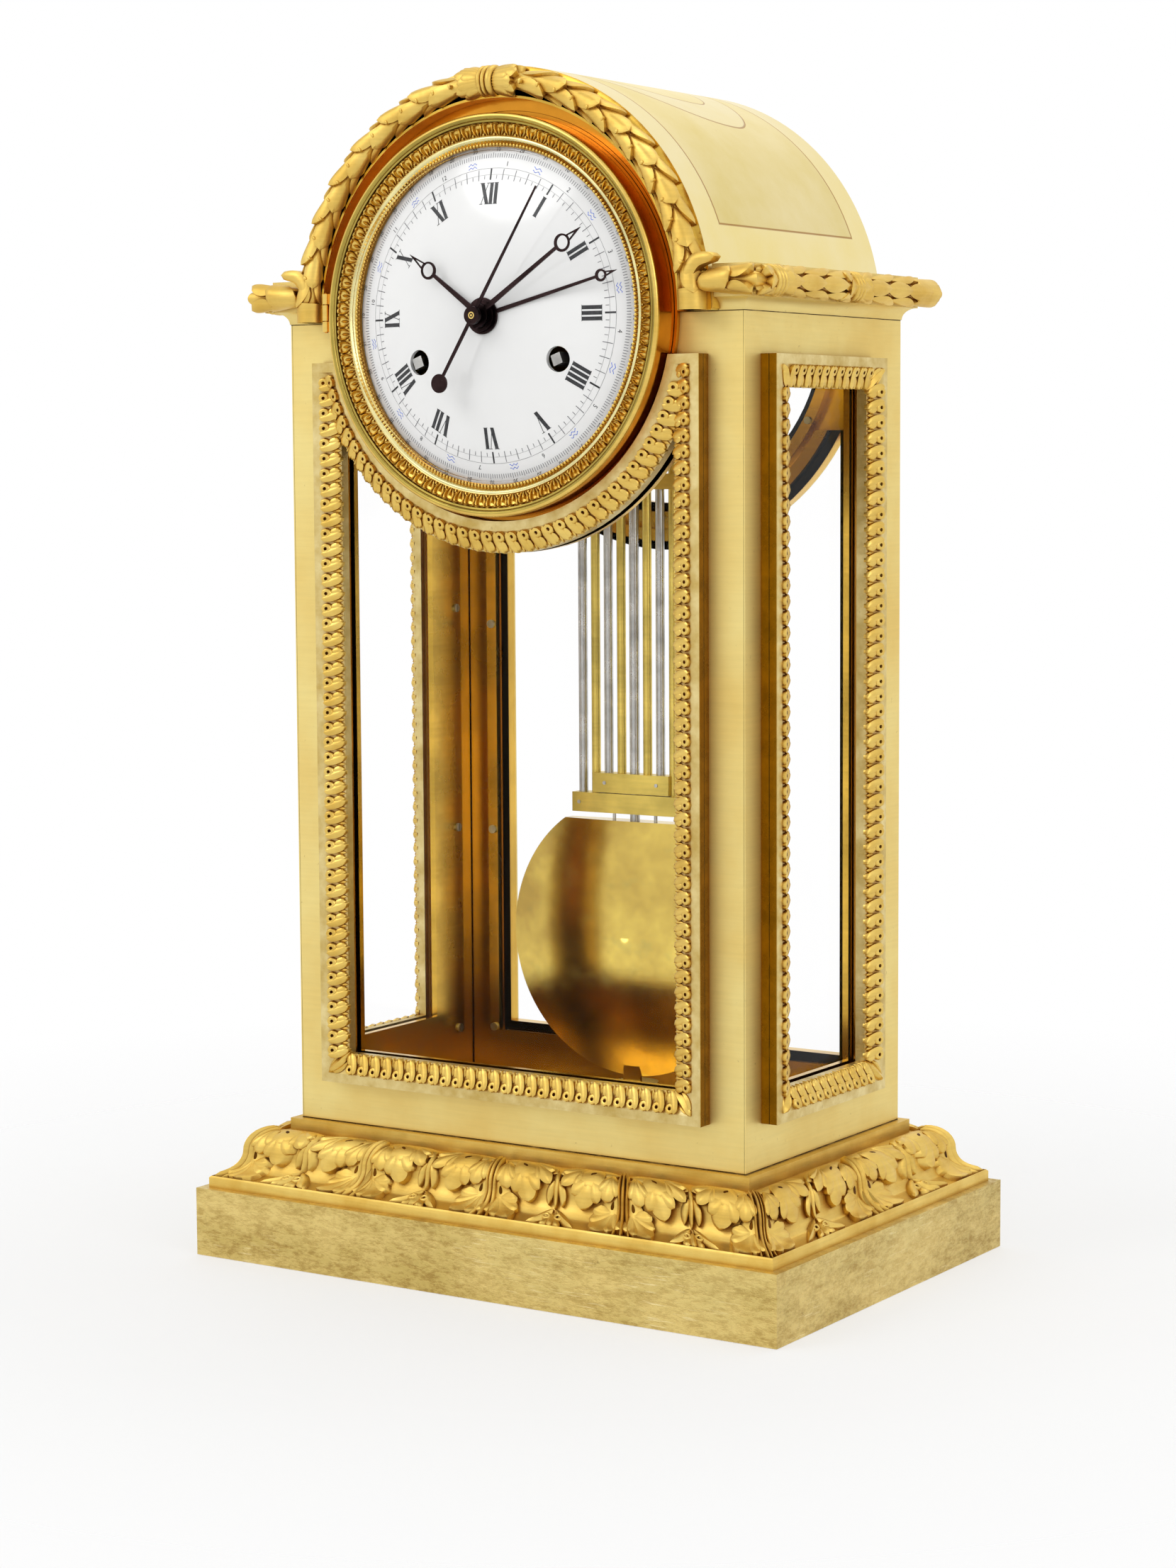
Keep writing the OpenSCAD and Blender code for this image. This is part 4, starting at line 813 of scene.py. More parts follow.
def plinth_material(name, looks):
    """Worn gilding with a grain of brown mottling, greenish clouds, spots and fine scratches."""
    material, s, shader, place = start_material(name)
    patina = worn(s, place, 30.0, 260.0)
    long_way = s.stretch(place, (0.5, 0.5, 1.3))
    cloud = s.span(s.noise(long_way, 30.0, 6.0, 0.75), 0.40, 0.60)
    grain = s.span(s.noise(long_way, 420.0, 5.0, 0.8), 0.42, 0.60)
    green = s.span(s.noise(place, 17.0, 3.0), 0.50, 0.66)
    colour = s.mix(cloud, rgba(looks.plinth_shade), rgba(looks.plinth_gilt))
    colour = s.mix(s.math("MULTIPLY", green, 0.25), colour, (0.54, 0.47, 0.18, 1))
    brown = s.math("MULTIPLY", grain, s.span(cloud, 0, 1, 0.66, 0.3))
    colour = s.mix(brown, colour, (0.34, 0.20, 0.045, 1))
    scratch = s.span(s.noise(s.stretch(place, (0.06, 0.06, 1.0)), 1500.0, 2.0), 0.60, 0.68)
    scratch = s.math("MULTIPLY", scratch, s.span(s.noise(place, 30.0, 2.0), 0.5, 0.62))
    colour = s.mix(s.math("MULTIPLY", scratch, 0.5), colour, (0.95, 0.82, 0.45, 1))
    colour = s.mix(s.math("MULTIPLY", patina["Specks"], 0.9), colour, rgba(looks.stain, 0.5))
    metal(s, shader, colour, s.span(grain, 0, 1, 0.36, 0.52), 0.5,
          s.math("SUBTRACT", patina["Height"], grain))
    return material


def bob_material(name, looks):
    """Polished brass with green and brown clouds, as on an old pendulum bob."""
    material, s, shader, place = start_material(name)
    patina = worn(s, place, 34.0, 420.0)
    colour = s.mix(patina["Blotch"], (0.46, 0.30, 0.07, 1), rgba(looks.pendulum))
    green = s.span(s.noise(s.stretch(place, (1.0, 1.0, 1.4)), 26.0, 5.0, 0.7), 0.52, 0.72)
    colour = s.mix(s.math("MULTIPLY", green, 0.5), colour, (0.36, 0.36, 0.13, 1))
    colour = s.mix(s.math("MULTIPLY", patina["Specks"], 0.8), colour, (0.22, 0.09, 0.02, 1))
    metal(s, shader, colour, s.span(green, 0, 1, 0.16, 0.30), 0.06, patina["Height"])
    return material


def gilt_finishes(looks):
    """Colours and grain of each gilt or brass finish, with the reach of the painted shade in its
    hollows.
    """
    return {
        "body_gilding": dict(
            light=looks.body_gilt, dark=looks.body_shade, rough=0.52, blotch=20, specks=420,
            stained=0.8, bump=0.14, brushed=0.05, reach=0.0022,
            zones=[inside_zone(looks.amber, 0.20)], seams=case_seams),
        "arch_gilding": dict(
            light=looks.body_gilt, dark=looks.body_shade, rough=0.36, blotch=26, specks=520,
            stained=0.4, bump=0.1, brushed=0.05, reach=0.004,
            zones=[recess_zone(looks.recess, 0.16)]),
        "carved_gilding": dict(
            light=looks.carved_gilt, dark=looks.carved_shade, rough=0.44, blotch=60, specks=700,
            stained=0.25, bump=0.3, reach=0.0024),
        "band_gilding": dict(
            light=looks.carved_gilt, dark=looks.carved_shade, rough=0.34, blotch=90, specks=800,
            stained=0.3, bump=0.2, reach=0.0016),
        "frame_gilding": dict(
            light=looks.frame_gilt, dark=looks.frame_shade, rough=0.42, blotch=130, specks=380,
            stained=0.8, bump=0.5, brushed=0.03, reach=0.0016,
            zones=[frame_edge_zone(looks.frame_edge, 0.24)], seams=frame_seams),
        "bezel_gilding": dict(
            light=looks.carved_gilt, dark=looks.carved_shade, rough=0.26, blotch=50, specks=600,
            stained=0.2, bump=0.06, reach=0.0007,
            zones=[recess_zone(looks.recess, 0.16),
                   ring_zone(BEZEL_R - 3.1, BEZEL_R - 1.1, (0.50, 0.37, 0.08), 0.34),
                   ring_zone(BEZEL_R - 9.0, BEZEL_R - 7.5, (0.96, 0.86, 0.42), 0.2)]),
        "amber_brass": dict(
            light=looks.amber, dark=rgba(looks.amber, 0.6), rough=0.22, blotch=40, specks=500,
            stained=0.3, bump=0.08),
        "movement_brass": dict(
            light=looks.carved_gilt, dark=looks.body_shade, rough=0.28, blotch=50, specks=700,
            stained=0.2, bump=0.05),
        "bell_metal": dict(
            light=looks.body_shade, dark=looks.carved_shade, rough=0.24, blotch=40, specks=500,
            stained=0.2, bump=0.05),
        "pendulum_brass": dict(
            light=looks.pendulum, dark=rgba(looks.pendulum, 0.6), rough=0.34, blotch=60,
            specks=420, stained=0.9, bump=0.15),
        # Painted shade: near-black browns that stand for the shade inside the sunk holes of the
        # base.
        "drilled_hollow": dict(light=(0.20, 0.07, 0.006), dark=(0.05, 0.02, 0.003), rough=0.5),
    }


def finish(kind):
    """A finish by name, made once."""
    looks = bpy.context.scene.clock_finish
    name = "look_" + kind
    made = bpy.data.materials.get(name)
    if made is not None:
        return made
    gilt = gilt_finishes(looks)
    if kind in gilt:
        return gilding(name, looks, **gilt[kind])
    makers = {
        "plinth_gilding": lambda: plinth_material(name, looks),
        "vault_gilding": lambda: vault_material(name, looks),
        "bob_brass": lambda: bob_material(name, looks),
        "polished_steel": lambda: steel_material(name, looks.steel, 0.24, 0.55),
        "screw_steel": lambda: steel_material(name, looks.steel, 0.3),
        "blued_steel": lambda: steel_material(name, looks.blued, 0.26, 0.4, 0.05),
        "enamel": lambda: enamel_material(name, looks),
        "dial_black": lambda: print_material(name, (0.012, 0.012, 0.014)),
        "dial_grey": lambda: print_material(name, (0.12, 0.12, 0.13)),
        "dial_blue": lambda: print_material(name, (0.05, 0.12, 0.50)),
        "window_glass": lambda: glass_material(name, 1.10),
        "dial_glass": lambda: glass_material(name, 1.008),
        "stage_white": lambda: floor_material(name),
    }
    return makers[kind]()


def floor_material(name):
    """Pale floor that keeps the shadow of the object and fades out away from it."""
    material, s, shader, place = start_material(name)
    tone = s.span(s.noise(place, 3.0, 2.0), 0.3, 0.7, 0.95, 0.97)
    s.put(shader.inputs["Base Color"],
          s.node("ShaderNodeCombineColor", _0=tone, _1=tone, _2=tone).outputs[0])
    shader.inputs["Roughness"].default_value = 0.7
    x, y, _ = split_place(s, place)
    far = s.math("SQRT", s.math("ADD", s.math("MULTIPLY", x, x), s.math("MULTIPLY", y, y)))
    clear = s.node("ShaderNodeBsdfTransparent")
    both = s.node("ShaderNodeMixShader", _0=s.span(far, 0.20, 0.5, 0.55, 1.0),
                  _1=shader.outputs[0], _2=clear.outputs[0])
    s.put(material.node_tree.nodes["Material Output"].inputs["Surface"], both.outputs[0])
    return material


FINISHED_NODES = {
    "plinth_gilding": ("plinth",),
    "body_gilding": ("front_wall", "side_walls", "cornice", "rear_door"),
    "arch_gilding": ("arch_front", "bezel_seat"),
    "vault_gilding": ("vault",),
    "frame_gilding": ("front_frame", "side_frames"),
    "bezel_gilding": ("bezel_hinge", "rear_door_knob", "rear_hinges"),
    "amber_brass": ("case_floor", "arch_moulding", "glazing_strips", "rear_door_strips"),
    "window_glass": ("window_glasses", "rear_door_glass"),
    "dial_glass": ("bezel_glass",),
    "enamel": ("dial",),
    "screw_steel": ("glazing_screws", "rear_door_screws", "gridiron_pins"),
    "polished_steel": ("suspension_spring", "steel_rods", "pallets", "going_winding_arbor",
                       "strike_winding_arbor", "hammer"),
    "blued_steel": ("seconds_hand", "minute_hand", "hour_hand", "calendar_hand"),
    "pendulum_brass": ("gridiron_bars", "brass_rods", "rating_nut"),
    "bob_brass": ("bob",),
    "bell_metal": ("bell",),
    "movement_brass": (
        "movement_front_plate", "movement_back_plate", "movement_pillars", "escapement_bridge",
        "suspension_cock", "pin_wheel", "motion_wheel", "cannon_wheel", "idler_wheel",
        "going_barrel", "strike_barrel", "second_wheel", "minute_arbor", "third_wheel",
        "strike_pin_wheel", "locking_wheel", "fly"),
}
NODE_FINISH = {node: kind for kind, nodes in FINISHED_NODES.items() for node in nodes}


# Surfaces that carving is laid on


def arch_surface(points):
    """Round of the laurel arch: along runs clockwise from the top, across runs outwards."""
    phi = points[:, 0] / ARCH_RING
    theta = points[:, 1] / ARCH_CORE
    reach = ARCH_CORE + np.minimum(points[:, 2], ARCH_OUTSIDE - ARCH_CORE)
    radius = ARCH_RING + reach * np.sin(theta)
    y = ARCH_Y - reach * np.cos(theta)
    return np.stack([radius * np.sin(phi), y, radius * np.cos(phi)], 1)


def torus_surface(points):
    """Straight length of the laurel torus, facing along its own height."""
    theta = points[:, 1] / TORUS_CORE
    reach = TORUS_CORE + np.minimum(points[:, 2], TORUS_OUTSIDE - TORUS_CORE)
    return np.stack([points[:, 0], reach * np.sin(theta), reach * np.cos(theta)], 1)


def ogee(down):
    """Place (out, z above the plinth) and outward direction at a distance down the ogee."""
    height = BASE_TOP - PLINTH_H
    hollow = height - OGEE_LOW - OGEE_TOP - OGEE_ROUND + 0.2
    first, second = OGEE_ROUND * math.pi / 2, hollow * math.pi / 2
    down = np.clip(np.asarray(down, float), 0, first + second)
    a = np.minimum(down, first) / OGEE_ROUND
    b = np.maximum(down - first, 0) / hollow
    upper = down <= first
    crest = height - OGEE_TOP
    out = np.where(upper, OGEE_CREST + OGEE_ROUND * np.sin(a),
                   OGEE_CREST + OGEE_ROUND + hollow * (1 - np.cos(b)))
    z = np.where(upper, crest - OGEE_ROUND + OGEE_ROUND * np.cos(a),
                 OGEE_LOW + hollow * (1 - np.sin(b)))
    way_out = np.where(upper, np.sin(a), np.cos(b))
    way_up = np.where(upper, np.cos(a), np.sin(b))
    return out, z, way_out, way_up


def base_surface(side):
    """Surface of one side of the base moulding, widening with the mitres."""
    half = HALF_W if side in ("front", "back") else HALF_D

    def surface(points):
        """Places of the points of this side."""
        out, z, way_out, way_up = ogee(points[:, 1])
        lift = points[:, 2] - OGEE_INSET
        out = out + way_out * lift
        z = PLINTH_H + z + way_up * lift
        along = points[:, 0] * (half + out) / half
        if side == "front":
            return np.stack([-along, -HALF_D - out, z], 1)
        if side == "back":
            return np.stack([along, HALF_D + out, z], 1)
        if side == "right":
            return np.stack([HALF_W + out, -along, z], 1)
        return np.stack([-HALF_W - out, along, z], 1)

    return surface


# Carved patterns


def laurel_pattern(way, length):
    """One step of laurel: columns of leaves round the core, each half a step off its neighbour."""
    c = Carving()
    degree = ARCH_CORE * math.pi / 180
    for n, angle in enumerate(LAUREL_COLUMNS):
        start = -length / 2 if n % 2 else 0.0
        b = angle * degree
        c.leaf([(way * start, b * 0.94), (way * (start + length * 0.6), b),
                (way * (start + length * 1.22), b * 1.08)], 6.0, 0.35, -1.1, 2.2, 0.32,
               rows=14, cols=8, widest=0.55, point=0.62)
        if abs(angle) < 90:
            c.berry((way * (start + length * 0.50), b + (degree * 35 if n % 2 else -degree * 35)),
                    0.62, 2.2, 8)
    return c


def torus_pattern(way, length):
    """One step of the torus laurel: diamond leaves that stand clear of each other."""
    c = Carving()
    degree = TORUS_CORE * math.pi / 180
    for n, angle in enumerate(TORUS_COLUMNS):
        start = -length / 2 if n % 2 else 0.0
        b = angle * degree
        c.leaf([(way * start, b * 0.95), (way * (start + length * 0.55), b),
                (way * (start + length * 1.1), b * 1.05)], 3.5, 0.4, 0.8, 2.5, 0.3, rows=12,
               cols=8, widest=0.5, point=0.85)
    return c


def clasp_pattern():
    """Ribbed double band at the top of the arch, with a ragged leaf to each side."""
    c = Carving()
    for at, width in ((-2.5, 1.5), (-0.9, 1.5), (1.2, 2.4)):
        c.leaf([(at, -8.4), (at, 8.4)], width, 0.75, 1.55, 1.55, 0.0, rows=18, cols=4, strap=True)
    for way in (-1, 1):
        for row, reach in ((0, 10.5), (1, 9.0)):
            for n in range(-4, 5):
                b = (n + (0.5 if row else 0)) * 1.75
                long = reach + (1.6 if n % 2 else 0) - abs(n) * 0.25
                c.leaf([(way * 2.6, b * 0.72), (way * long * 0.6, b), (way * long, b * 1.12)], 2.9,
                       0.35, 1.2, 2.25, 0.12, rows=10, cols=4, widest=0.58, point=0.42)
    return c


def band_pattern():
    """One step of the leaf band of a window frame: a scroll with a sunk hole, its tongue and a
    dart.
    """
    c = Carving()
    c.eyelet((1.95, 1.95), 1.95, 0.55, 1.5, 8)
    c.leaf([(3.7, 0.3), (3.5, 2.6), (2.7, 5.0), (1.5, 7.4)], 2.7, 0.5, 1.2, 1.0, 0.0, rows=8,
           cols=4, widest=0.62, point=0.2)
    c.leaf([(1.4, 3.2), (1.5, 5.2), (0.7, 7.0)], 2.6, 0.45, 0.9, 0.9, 0.0, rows=5, cols=4,
           widest=0.6, point=0.3)
    c.leaf([(4.5, 3.6), (4.3, 7.2)], 1.3, 0.4, 0.2, 0.6, 0.0, rows=3, cols=2, widest=0.5,
           point=0.5)
    return c


def corner_pattern():
    """Leaf on the mitre of a window frame."""
    c = Carving()
    c.leaf([(0.2, 0.2), (7.6, 7.6)], 3.6, 1.0, 0.7, 0.4, 0.35, rows=9, cols=4, widest=0.45,
           point=0.6)
    c.leaf([(1.2, 0.6), (5.4, 1.2), (7.6, 4.8)], 2.2, 0.8, 0.4, 0.3, rows=6, cols=2)
    c.leaf([(0.6, 1.2), (1.2, 5.4), (4.8, 7.6)], 2.2, 0.8, 0.4, 0.3, rows=6, cols=2)
    return c


def sloped_band(points):
    """Face of a leaf band, which drops from the border towards the glass."""
    out = points.copy()
    out[:, 2] = points[:, 2] - np.clip(points[:, 1], 0, BAND) * BAND_DROP / BAND
    return out


def leaned(points):
    """Band of the bezel, which rises outwards."""
    out = points.copy()
    out[:, 2] = points[:, 2] + points[:, 1] * 0.21
    return out


def bezel_pattern():
    """One step of the leaf band of the bezel: a loop, a dart in it and a bud beside it."""
    c = Carving()
    for way in (-1, 1):
        c.leaf([(way * 0.05, 3.75), (way * 1.45, 3.7), (way * 1.7, 2.2), (way * 0.7, 0.25)], 0.8,
               0.55, 0.45, 0.3, rows=6, cols=2, widest=0.45, point=0.3, sink=0.6)
    c.leaf([(0, 2.7), (0, 0.2)], 0.95, 0.5, 0.35, 0.25, 0.15, rows=4, cols=2, widest=0.4,
           point=0.7, sink=0.6)
    c.berry((2.13, 0.55), 0.42, 0.6, 5)
    return c


def eye_shade_teardrop(c, at, length, wide, turn, top):
    """Dark teardrop of painted shade that stands for a hole sunk between two lobes, its floor just
    above what it is laid on.
    """
    sides = 10
    cos, sin = math.cos(math.radians(turn)), math.sin(math.radians(turn))
    rings = ((1.0, -0.6), (1.0, top), (0.55, top + 0.05))
    points = []
    for k, z in rings:
        for i in range(sides):
            a = 2 * math.pi * i / sides
            u = k * length / 2 * math.cos(a)
            v = k * wide / 2 * math.sin(a) * (1 + 0.35 * math.cos(a))
            points.append((at[0] + u * cos - v * sin, at[1] + u * sin + v * cos, z))
    c.parts.append((np.array(points), ring_faces(len(rings), sides)))


def painted_base_eye_shade(half, bays):
    """Painted shade of the sunk holes of one side of the base, as dark teardrops."""
    c = Carving()
    pitch = 2 * half / bays
    k = pitch / DRAWN_BAY
    for bay in range(bays):
        for at, way in ((-half + bay * pitch, 1), (-half + (bay + 1) * pitch, -1)):
            for u, v, length, wide, turn, top in (
                    (6.6, 8.6, 3.4, 1.2, 80, 1.6), (15.8, 9.6, 3.0, 1.1, 70, 1.6),
                    (3.4, 13.4, 2.8, 1.0, 80, 1.3), (10.4, 3.6, 2.2, 0.9, 30, 2.2),
                    (19.6, 7.6, 2.2, 0.9, 110, 1.3)):
                eye_shade_teardrop(c, (at + way * u * k, v), length, wide,
                        turn if way > 0 else 180 - turn, top)
    return c


def stem_pattern(c, at):
    """Double-grooved stem from the top of the ogee to its foot."""
    for shift, width, crown in ((-1.35, 1.3, 0.7), (1.35, 1.3, 0.7), (0, 1.5, 1.1)):
        c.leaf([(at + shift * 0.7, -0.6), (at + shift, 7), (at + shift * 0.9, 15),
                (at + shift * 1.9, 25.2)], width, crown, 1.5, 1.1, 0.2, rows=18, cols=4,
               widest=0.6, point=0.25)


def fan(c, root, tip, width, lift, splay, extra=0):
    """A lobed leaf: a pointed middle lobe and two or four splayed lobes from the same root."""
    root, tip = np.array(root, float), np.array(tip, float)
    way = tip - root
    for n in sorted(range(-1 - extra, 2 + extra), key=abs, reverse=True):
        size, wide = SIDE_LOBE_LENGTH ** abs(n), width * (SIDE_LOBE_WIDTH if n else 1.0)
        turn = math.radians(splay * n)
        step = np.array([way[0] * math.cos(turn) - way[1] * math.sin(turn),
                         way[0] * math.sin(turn) + way[1] * math.cos(turn)]) * size
        bend = root + 0.55 * step * 0.8 + 0.2 * way
        c.leaf([root, bend, root + step], wide, 0.5, lift, lift + (1.1 if n == 0 else 0.85),
               0.16, rows=14, cols=8, widest=0.56, point=0.62)


def half_leaf(c, at, way, k):
    """Lobed leaves on one side of a stem, scaled by k along the moulding."""
    def spot(u, v):
        """Place at u from the stem and v down the moulding."""
        return (at + way * u * k, v)

    c.leaf([spot(1.2, 9.5), spot(4.2, 15), spot(6.0, 21.5)], 6.6, 0.5, 0.5, 0.9, 0.1, rows=14,
           cols=8, widest=0.55, point=0.5)
    fan(c, spot(2.6, 15.0), spot(9.4, 24.4), 6.4, 0.8, 27, extra=1)
    c.leaf([spot(1.8, 0.4), spot(11.5, -1.8), spot(22.0, 4.4)], 7.6, 0.7, 0.6, 0.9, 0.0,
           rows=16, cols=8, widest=0.5, point=0.4)
    fan(c, spot(13.0, 0.0), spot(20.6, 8.8), 4.6, 1.0, 22)
    fan(c, spot(3.6, 1.4), spot(5.8, 12.6), 5.0, 0.9, 20)
    c.leaf([spot(7.0, 0.4), spot(11.0, 3.5), spot(12.6, 9.0)], 8.6, 0.7, 1.2, 1.7, 0.1, rows=14,
           cols=8, widest=0.6, point=0.45)
    fan(c, spot(10.2, 2.8), spot(13.8, 16.0), 6.6, 1.3, 25)


def husk_pattern(c, at, k):
    """Small husk low down between two acanthus leaves, on a stalk."""
    c.leaf([(at, 4), (at, 17)], 2.0, 0.8, 1.2, 1.2, 0.1, rows=8, cols=4, widest=0.4, point=0.4)
    for way in (-1, 1):
        c.leaf([(at + way * 0.4, 7), (at + way * 2.6 * k, 11), (at + way * 2.3 * k, 16)], 2.6,
               0.8, 1.0, 1.4, 0.1, rows=9, cols=4, widest=0.5, point=0.6)
        c.leaf([(at + way * 0.5, 17), (at + way * 3.4 * k, 20.6), (at + way * 7.4 * k, 23.9)],
               3.0, 0.8, 0.8, 1.0, 0.2, rows=9, cols=4, widest=0.5, point=0.6)
        c.eyelet((at + way * 1.9 * k, 20.2), 1.7, 0.5, 1.9, 10)
        c.leaf([(at + way * 1.0, 20.5), (at + way * 2.6 * k, 24.8)], 2.6, 0.8, 0.9, 1.1, 0.1,
               rows=7, cols=4, widest=0.55, point=0.5)
    c.leaf([(at, 18.4), (at, 25.0)], 2.6, 0.9, 1.1, 1.3, 0.2, rows=8, cols=4, widest=0.5,
           point=0.5)


def base_side(half, bays):
    """Acanthus of one side of the base, with a stem on each mitre and between the bays."""
    c = Carving()
    pitch = 2 * half / bays
    k = pitch / DRAWN_BAY
    for bay in range(bays):
        left = -half + bay * pitch
        husk_pattern(c, left + pitch / 2, k)
        half_leaf(c, left, 1, k)
        half_leaf(c, left + pitch, -1, k)
    for n in range(1, bays):
        stem_pattern(c, -half + n * pitch)
    return c


def mitre_stem(c, half, way):
    """The half of a corner stem that lies on this side of the mitre."""
    at = way * half
    c.leaf([(at - way * 0.5, -0.6), (at - way * 0.55, 8), (at - way * 0.5, 16),
            (at - way * 0.6, 25.2)], 1.2, 1.1, 1.5, 1.2, 0.1, rows=18, cols=4, widest=0.6,
           point=0.25)
    c.leaf([(at - way * 1.8, -0.4), (at - way * 2.0, 8), (at - way * 1.8, 16),
            (at - way * 2.6, 25.0)], 1.1, 0.7, 1.4, 1.0, 0.1, rows=18, cols=4, widest=0.6,
           point=0.25)


# Property groups


class ClockCarving(bpy.types.PropertyGroup):
    """Counts and pitches of the carving"""
    bezel_beads: bpy.props.IntProperty(
        name="Bezel beads", description="Beads round the sight edge of the bezel",
        default=265, min=100, max=400)
    bezel_leaves: bpy.props.IntProperty(
        name="Bezel leaves", description="Leaf loops round the bezel", default=88, min=40, max=140)
    band_pitch: bpy.props.FloatProperty(
        name="Band pitch", description="Distance between leaves of the window frames",
        default=0.005, min=0.004, max=0.008, unit="LENGTH", subtype="DISTANCE")
    laurel_step: bpy.props.FloatProperty(
        name="Laurel step", description="Angle between laurel leaves on the arch",
        default=math.radians(11.2), min=math.radians(8), max=math.radians(16), subtype="ANGLE")
    torus_pitch: bpy.props.FloatProperty(
        name="Torus pitch", description="Distance between laurel leaves on the side torus",
        default=0.0148, min=0.008, max=0.02, unit="LENGTH", subtype="DISTANCE")
    front_bays: bpy.props.IntProperty(
        name="Front bays", description="Acanthus bays on the front of the base",
        default=4, min=2, max=8)
    side_bays: bpy.props.IntProperty(
        name="Side bays", description="Acanthus bays on each side of the base",
        default=2, min=1, max=6)


def colour_property(name, description, default):
    """Colour that the panel shows."""
    return bpy.props.FloatVectorProperty(
        name=name, description=description, default=default, min=0, max=1, size=3,
        subtype="COLOR")


class ClockFinish(bpy.types.PropertyGroup):
    """Colours of the finishes"""
    body_gilt: colour_property("Body gilding", "Pale gilding of the case", (0.85, 0.70, 0.28))
    body_shade: colour_property("Body shade", "Darker clouds in the pale gilding",
                                (0.80, 0.60, 0.20))
    carved_gilt: colour_property("Carved gilding", "Gilding of carved mounts",
                                 (0.84, 0.60, 0.16))
    carved_shade: colour_property("Carved shade", "Darker clouds on carved mounts",
                                  (0.70, 0.45, 0.09))
    plinth_gilt: colour_property("Plinth gilding", "Worn gilding of the plinth",
                                 (0.78, 0.60, 0.22))
    plinth_shade: colour_property("Plinth shade", "Brown clouds on the plinth",
                                  (0.60, 0.45, 0.14))
    amber: colour_property("Amber brass", "Dark polished brass inside the case",
                           (0.85, 0.52, 0.08))
    frame_gilt: colour_property("Frame gilding", "Grey-gold of the window frames",
                                (0.78, 0.64, 0.30))
    frame_shade: colour_property("Frame shade", "Grain of the window frames",
                                 (0.56, 0.40, 0.12))
    frame_edge: colour_property("Frame edge", "Dark polished outer edges of the frames",
                                (0.30, 0.14, 0.006))
    recess: colour_property("Recess", "Orange polished ring round the bezel", (0.80, 0.33, 0.03))
    # Colour of the painted shade in the hollows of the carving and in inner corners; the engraved
    # lines of the vault take it too.
    hollow: colour_property("Hollows", "Colour in the hollows of the carving",
                            (0.32, 0.12, 0.01))
    stain: colour_property("Stain", "Brown specks and stains", (0.26, 0.15, 0.05))
    pendulum: colour_property("Pendulum brass", "Brass of the bob and bars",
                              (0.88, 0.66, 0.15))
    steel: colour_property("Steel", "Bright steel of rods and screws", (0.62, 0.61, 0.58))
    blued: colour_property("Blued steel", "Steel of the hands", (0.045, 0.026, 0.026))
    enamel: colour_property("Enamel", "White enamel of the dial", (0.72, 0.72, 0.71))


# Operators


class PaintFrame(bpy.types.Operator):
    """Gives each carried-over node of the frame its finish"""
    bl_idname = "clock.paint_frame"
    bl_label = "Paint Frame"

    def execute(self, context):
        for name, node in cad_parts.items():
            if name not in NODE_FINISH:
                continue
            made = finish(NODE_FINISH[name])
            if not node.material_slots:
                raise RuntimeError(f"node {name} has no material slot")
            for slot in node.material_slots:
                slot.material = made
        return {"FINISHED"}


class CarveBase(bpy.types.Operator):
    """Builds the base moulding with its acanthus leaves"""
    bl_idname = "clock.carve_base"
    bl_label = "Carve Base"

    def execute(self, context):
        sizes = context.scene.clock_carving
        height = BASE_TOP - PLINTH_H
        down = np.linspace(0, 25.1, 25)
        out, z, way_out, way_up = ogee(down)
        curve = list(zip(out - way_out * OGEE_INSET, z - way_up * OGEE_INSET))
        profile = ([(-3.4, 0), (-3.4, height), (3.0, height), (3.0, height - OGEE_TOP - 1.2)]
                   + curve[2:] + [(22.9, OGEE_LOW - 0.1), (23.5, OGEE_LOW - 0.7), (23.5, 0)])
        profile = [(o, v + PLINTH_H) for o, v in profile]
        corners = [(-HALF_W, -HALF_D, -1, -1), (HALF_W, -HALF_D, 1, -1),
                   (HALF_W, HALF_D, 1, 1), (-HALF_W, HALF_D, -1, 1)]
        parts, eye_shades = [swept(corners, profile, True)], []
        for side, half, bays in (("front", HALF_W, sizes.front_bays),
                                 ("back", HALF_W, sizes.front_bays),
                                 ("left", HALF_D, sizes.side_bays),
                                 ("right", HALF_D, sizes.side_bays)):
            c = base_side(half, bays)
            mitre_stem(c, half, -1)
            mitre_stem(c, half, 1)
            parts += c.laid(base_surface(side))
            eye_shades += painted_base_eye_shade(half, bays).laid(base_surface(side))
        mesh = joined("acanthus_base", parts, [finish("carved_gilding")], 50)
        finish_piece(add_object("acanthus_base", mesh), "case", ["base_moulding"])
        # Dark teardrops of painted shade stand in for the sunk holes of the acanthus.
        mesh = joined("base_drillings", eye_shades, [finish("drilled_hollow")], 40)
        finish_piece(add_object("base_drillings", mesh), "case")
        return {"FINISHED"}


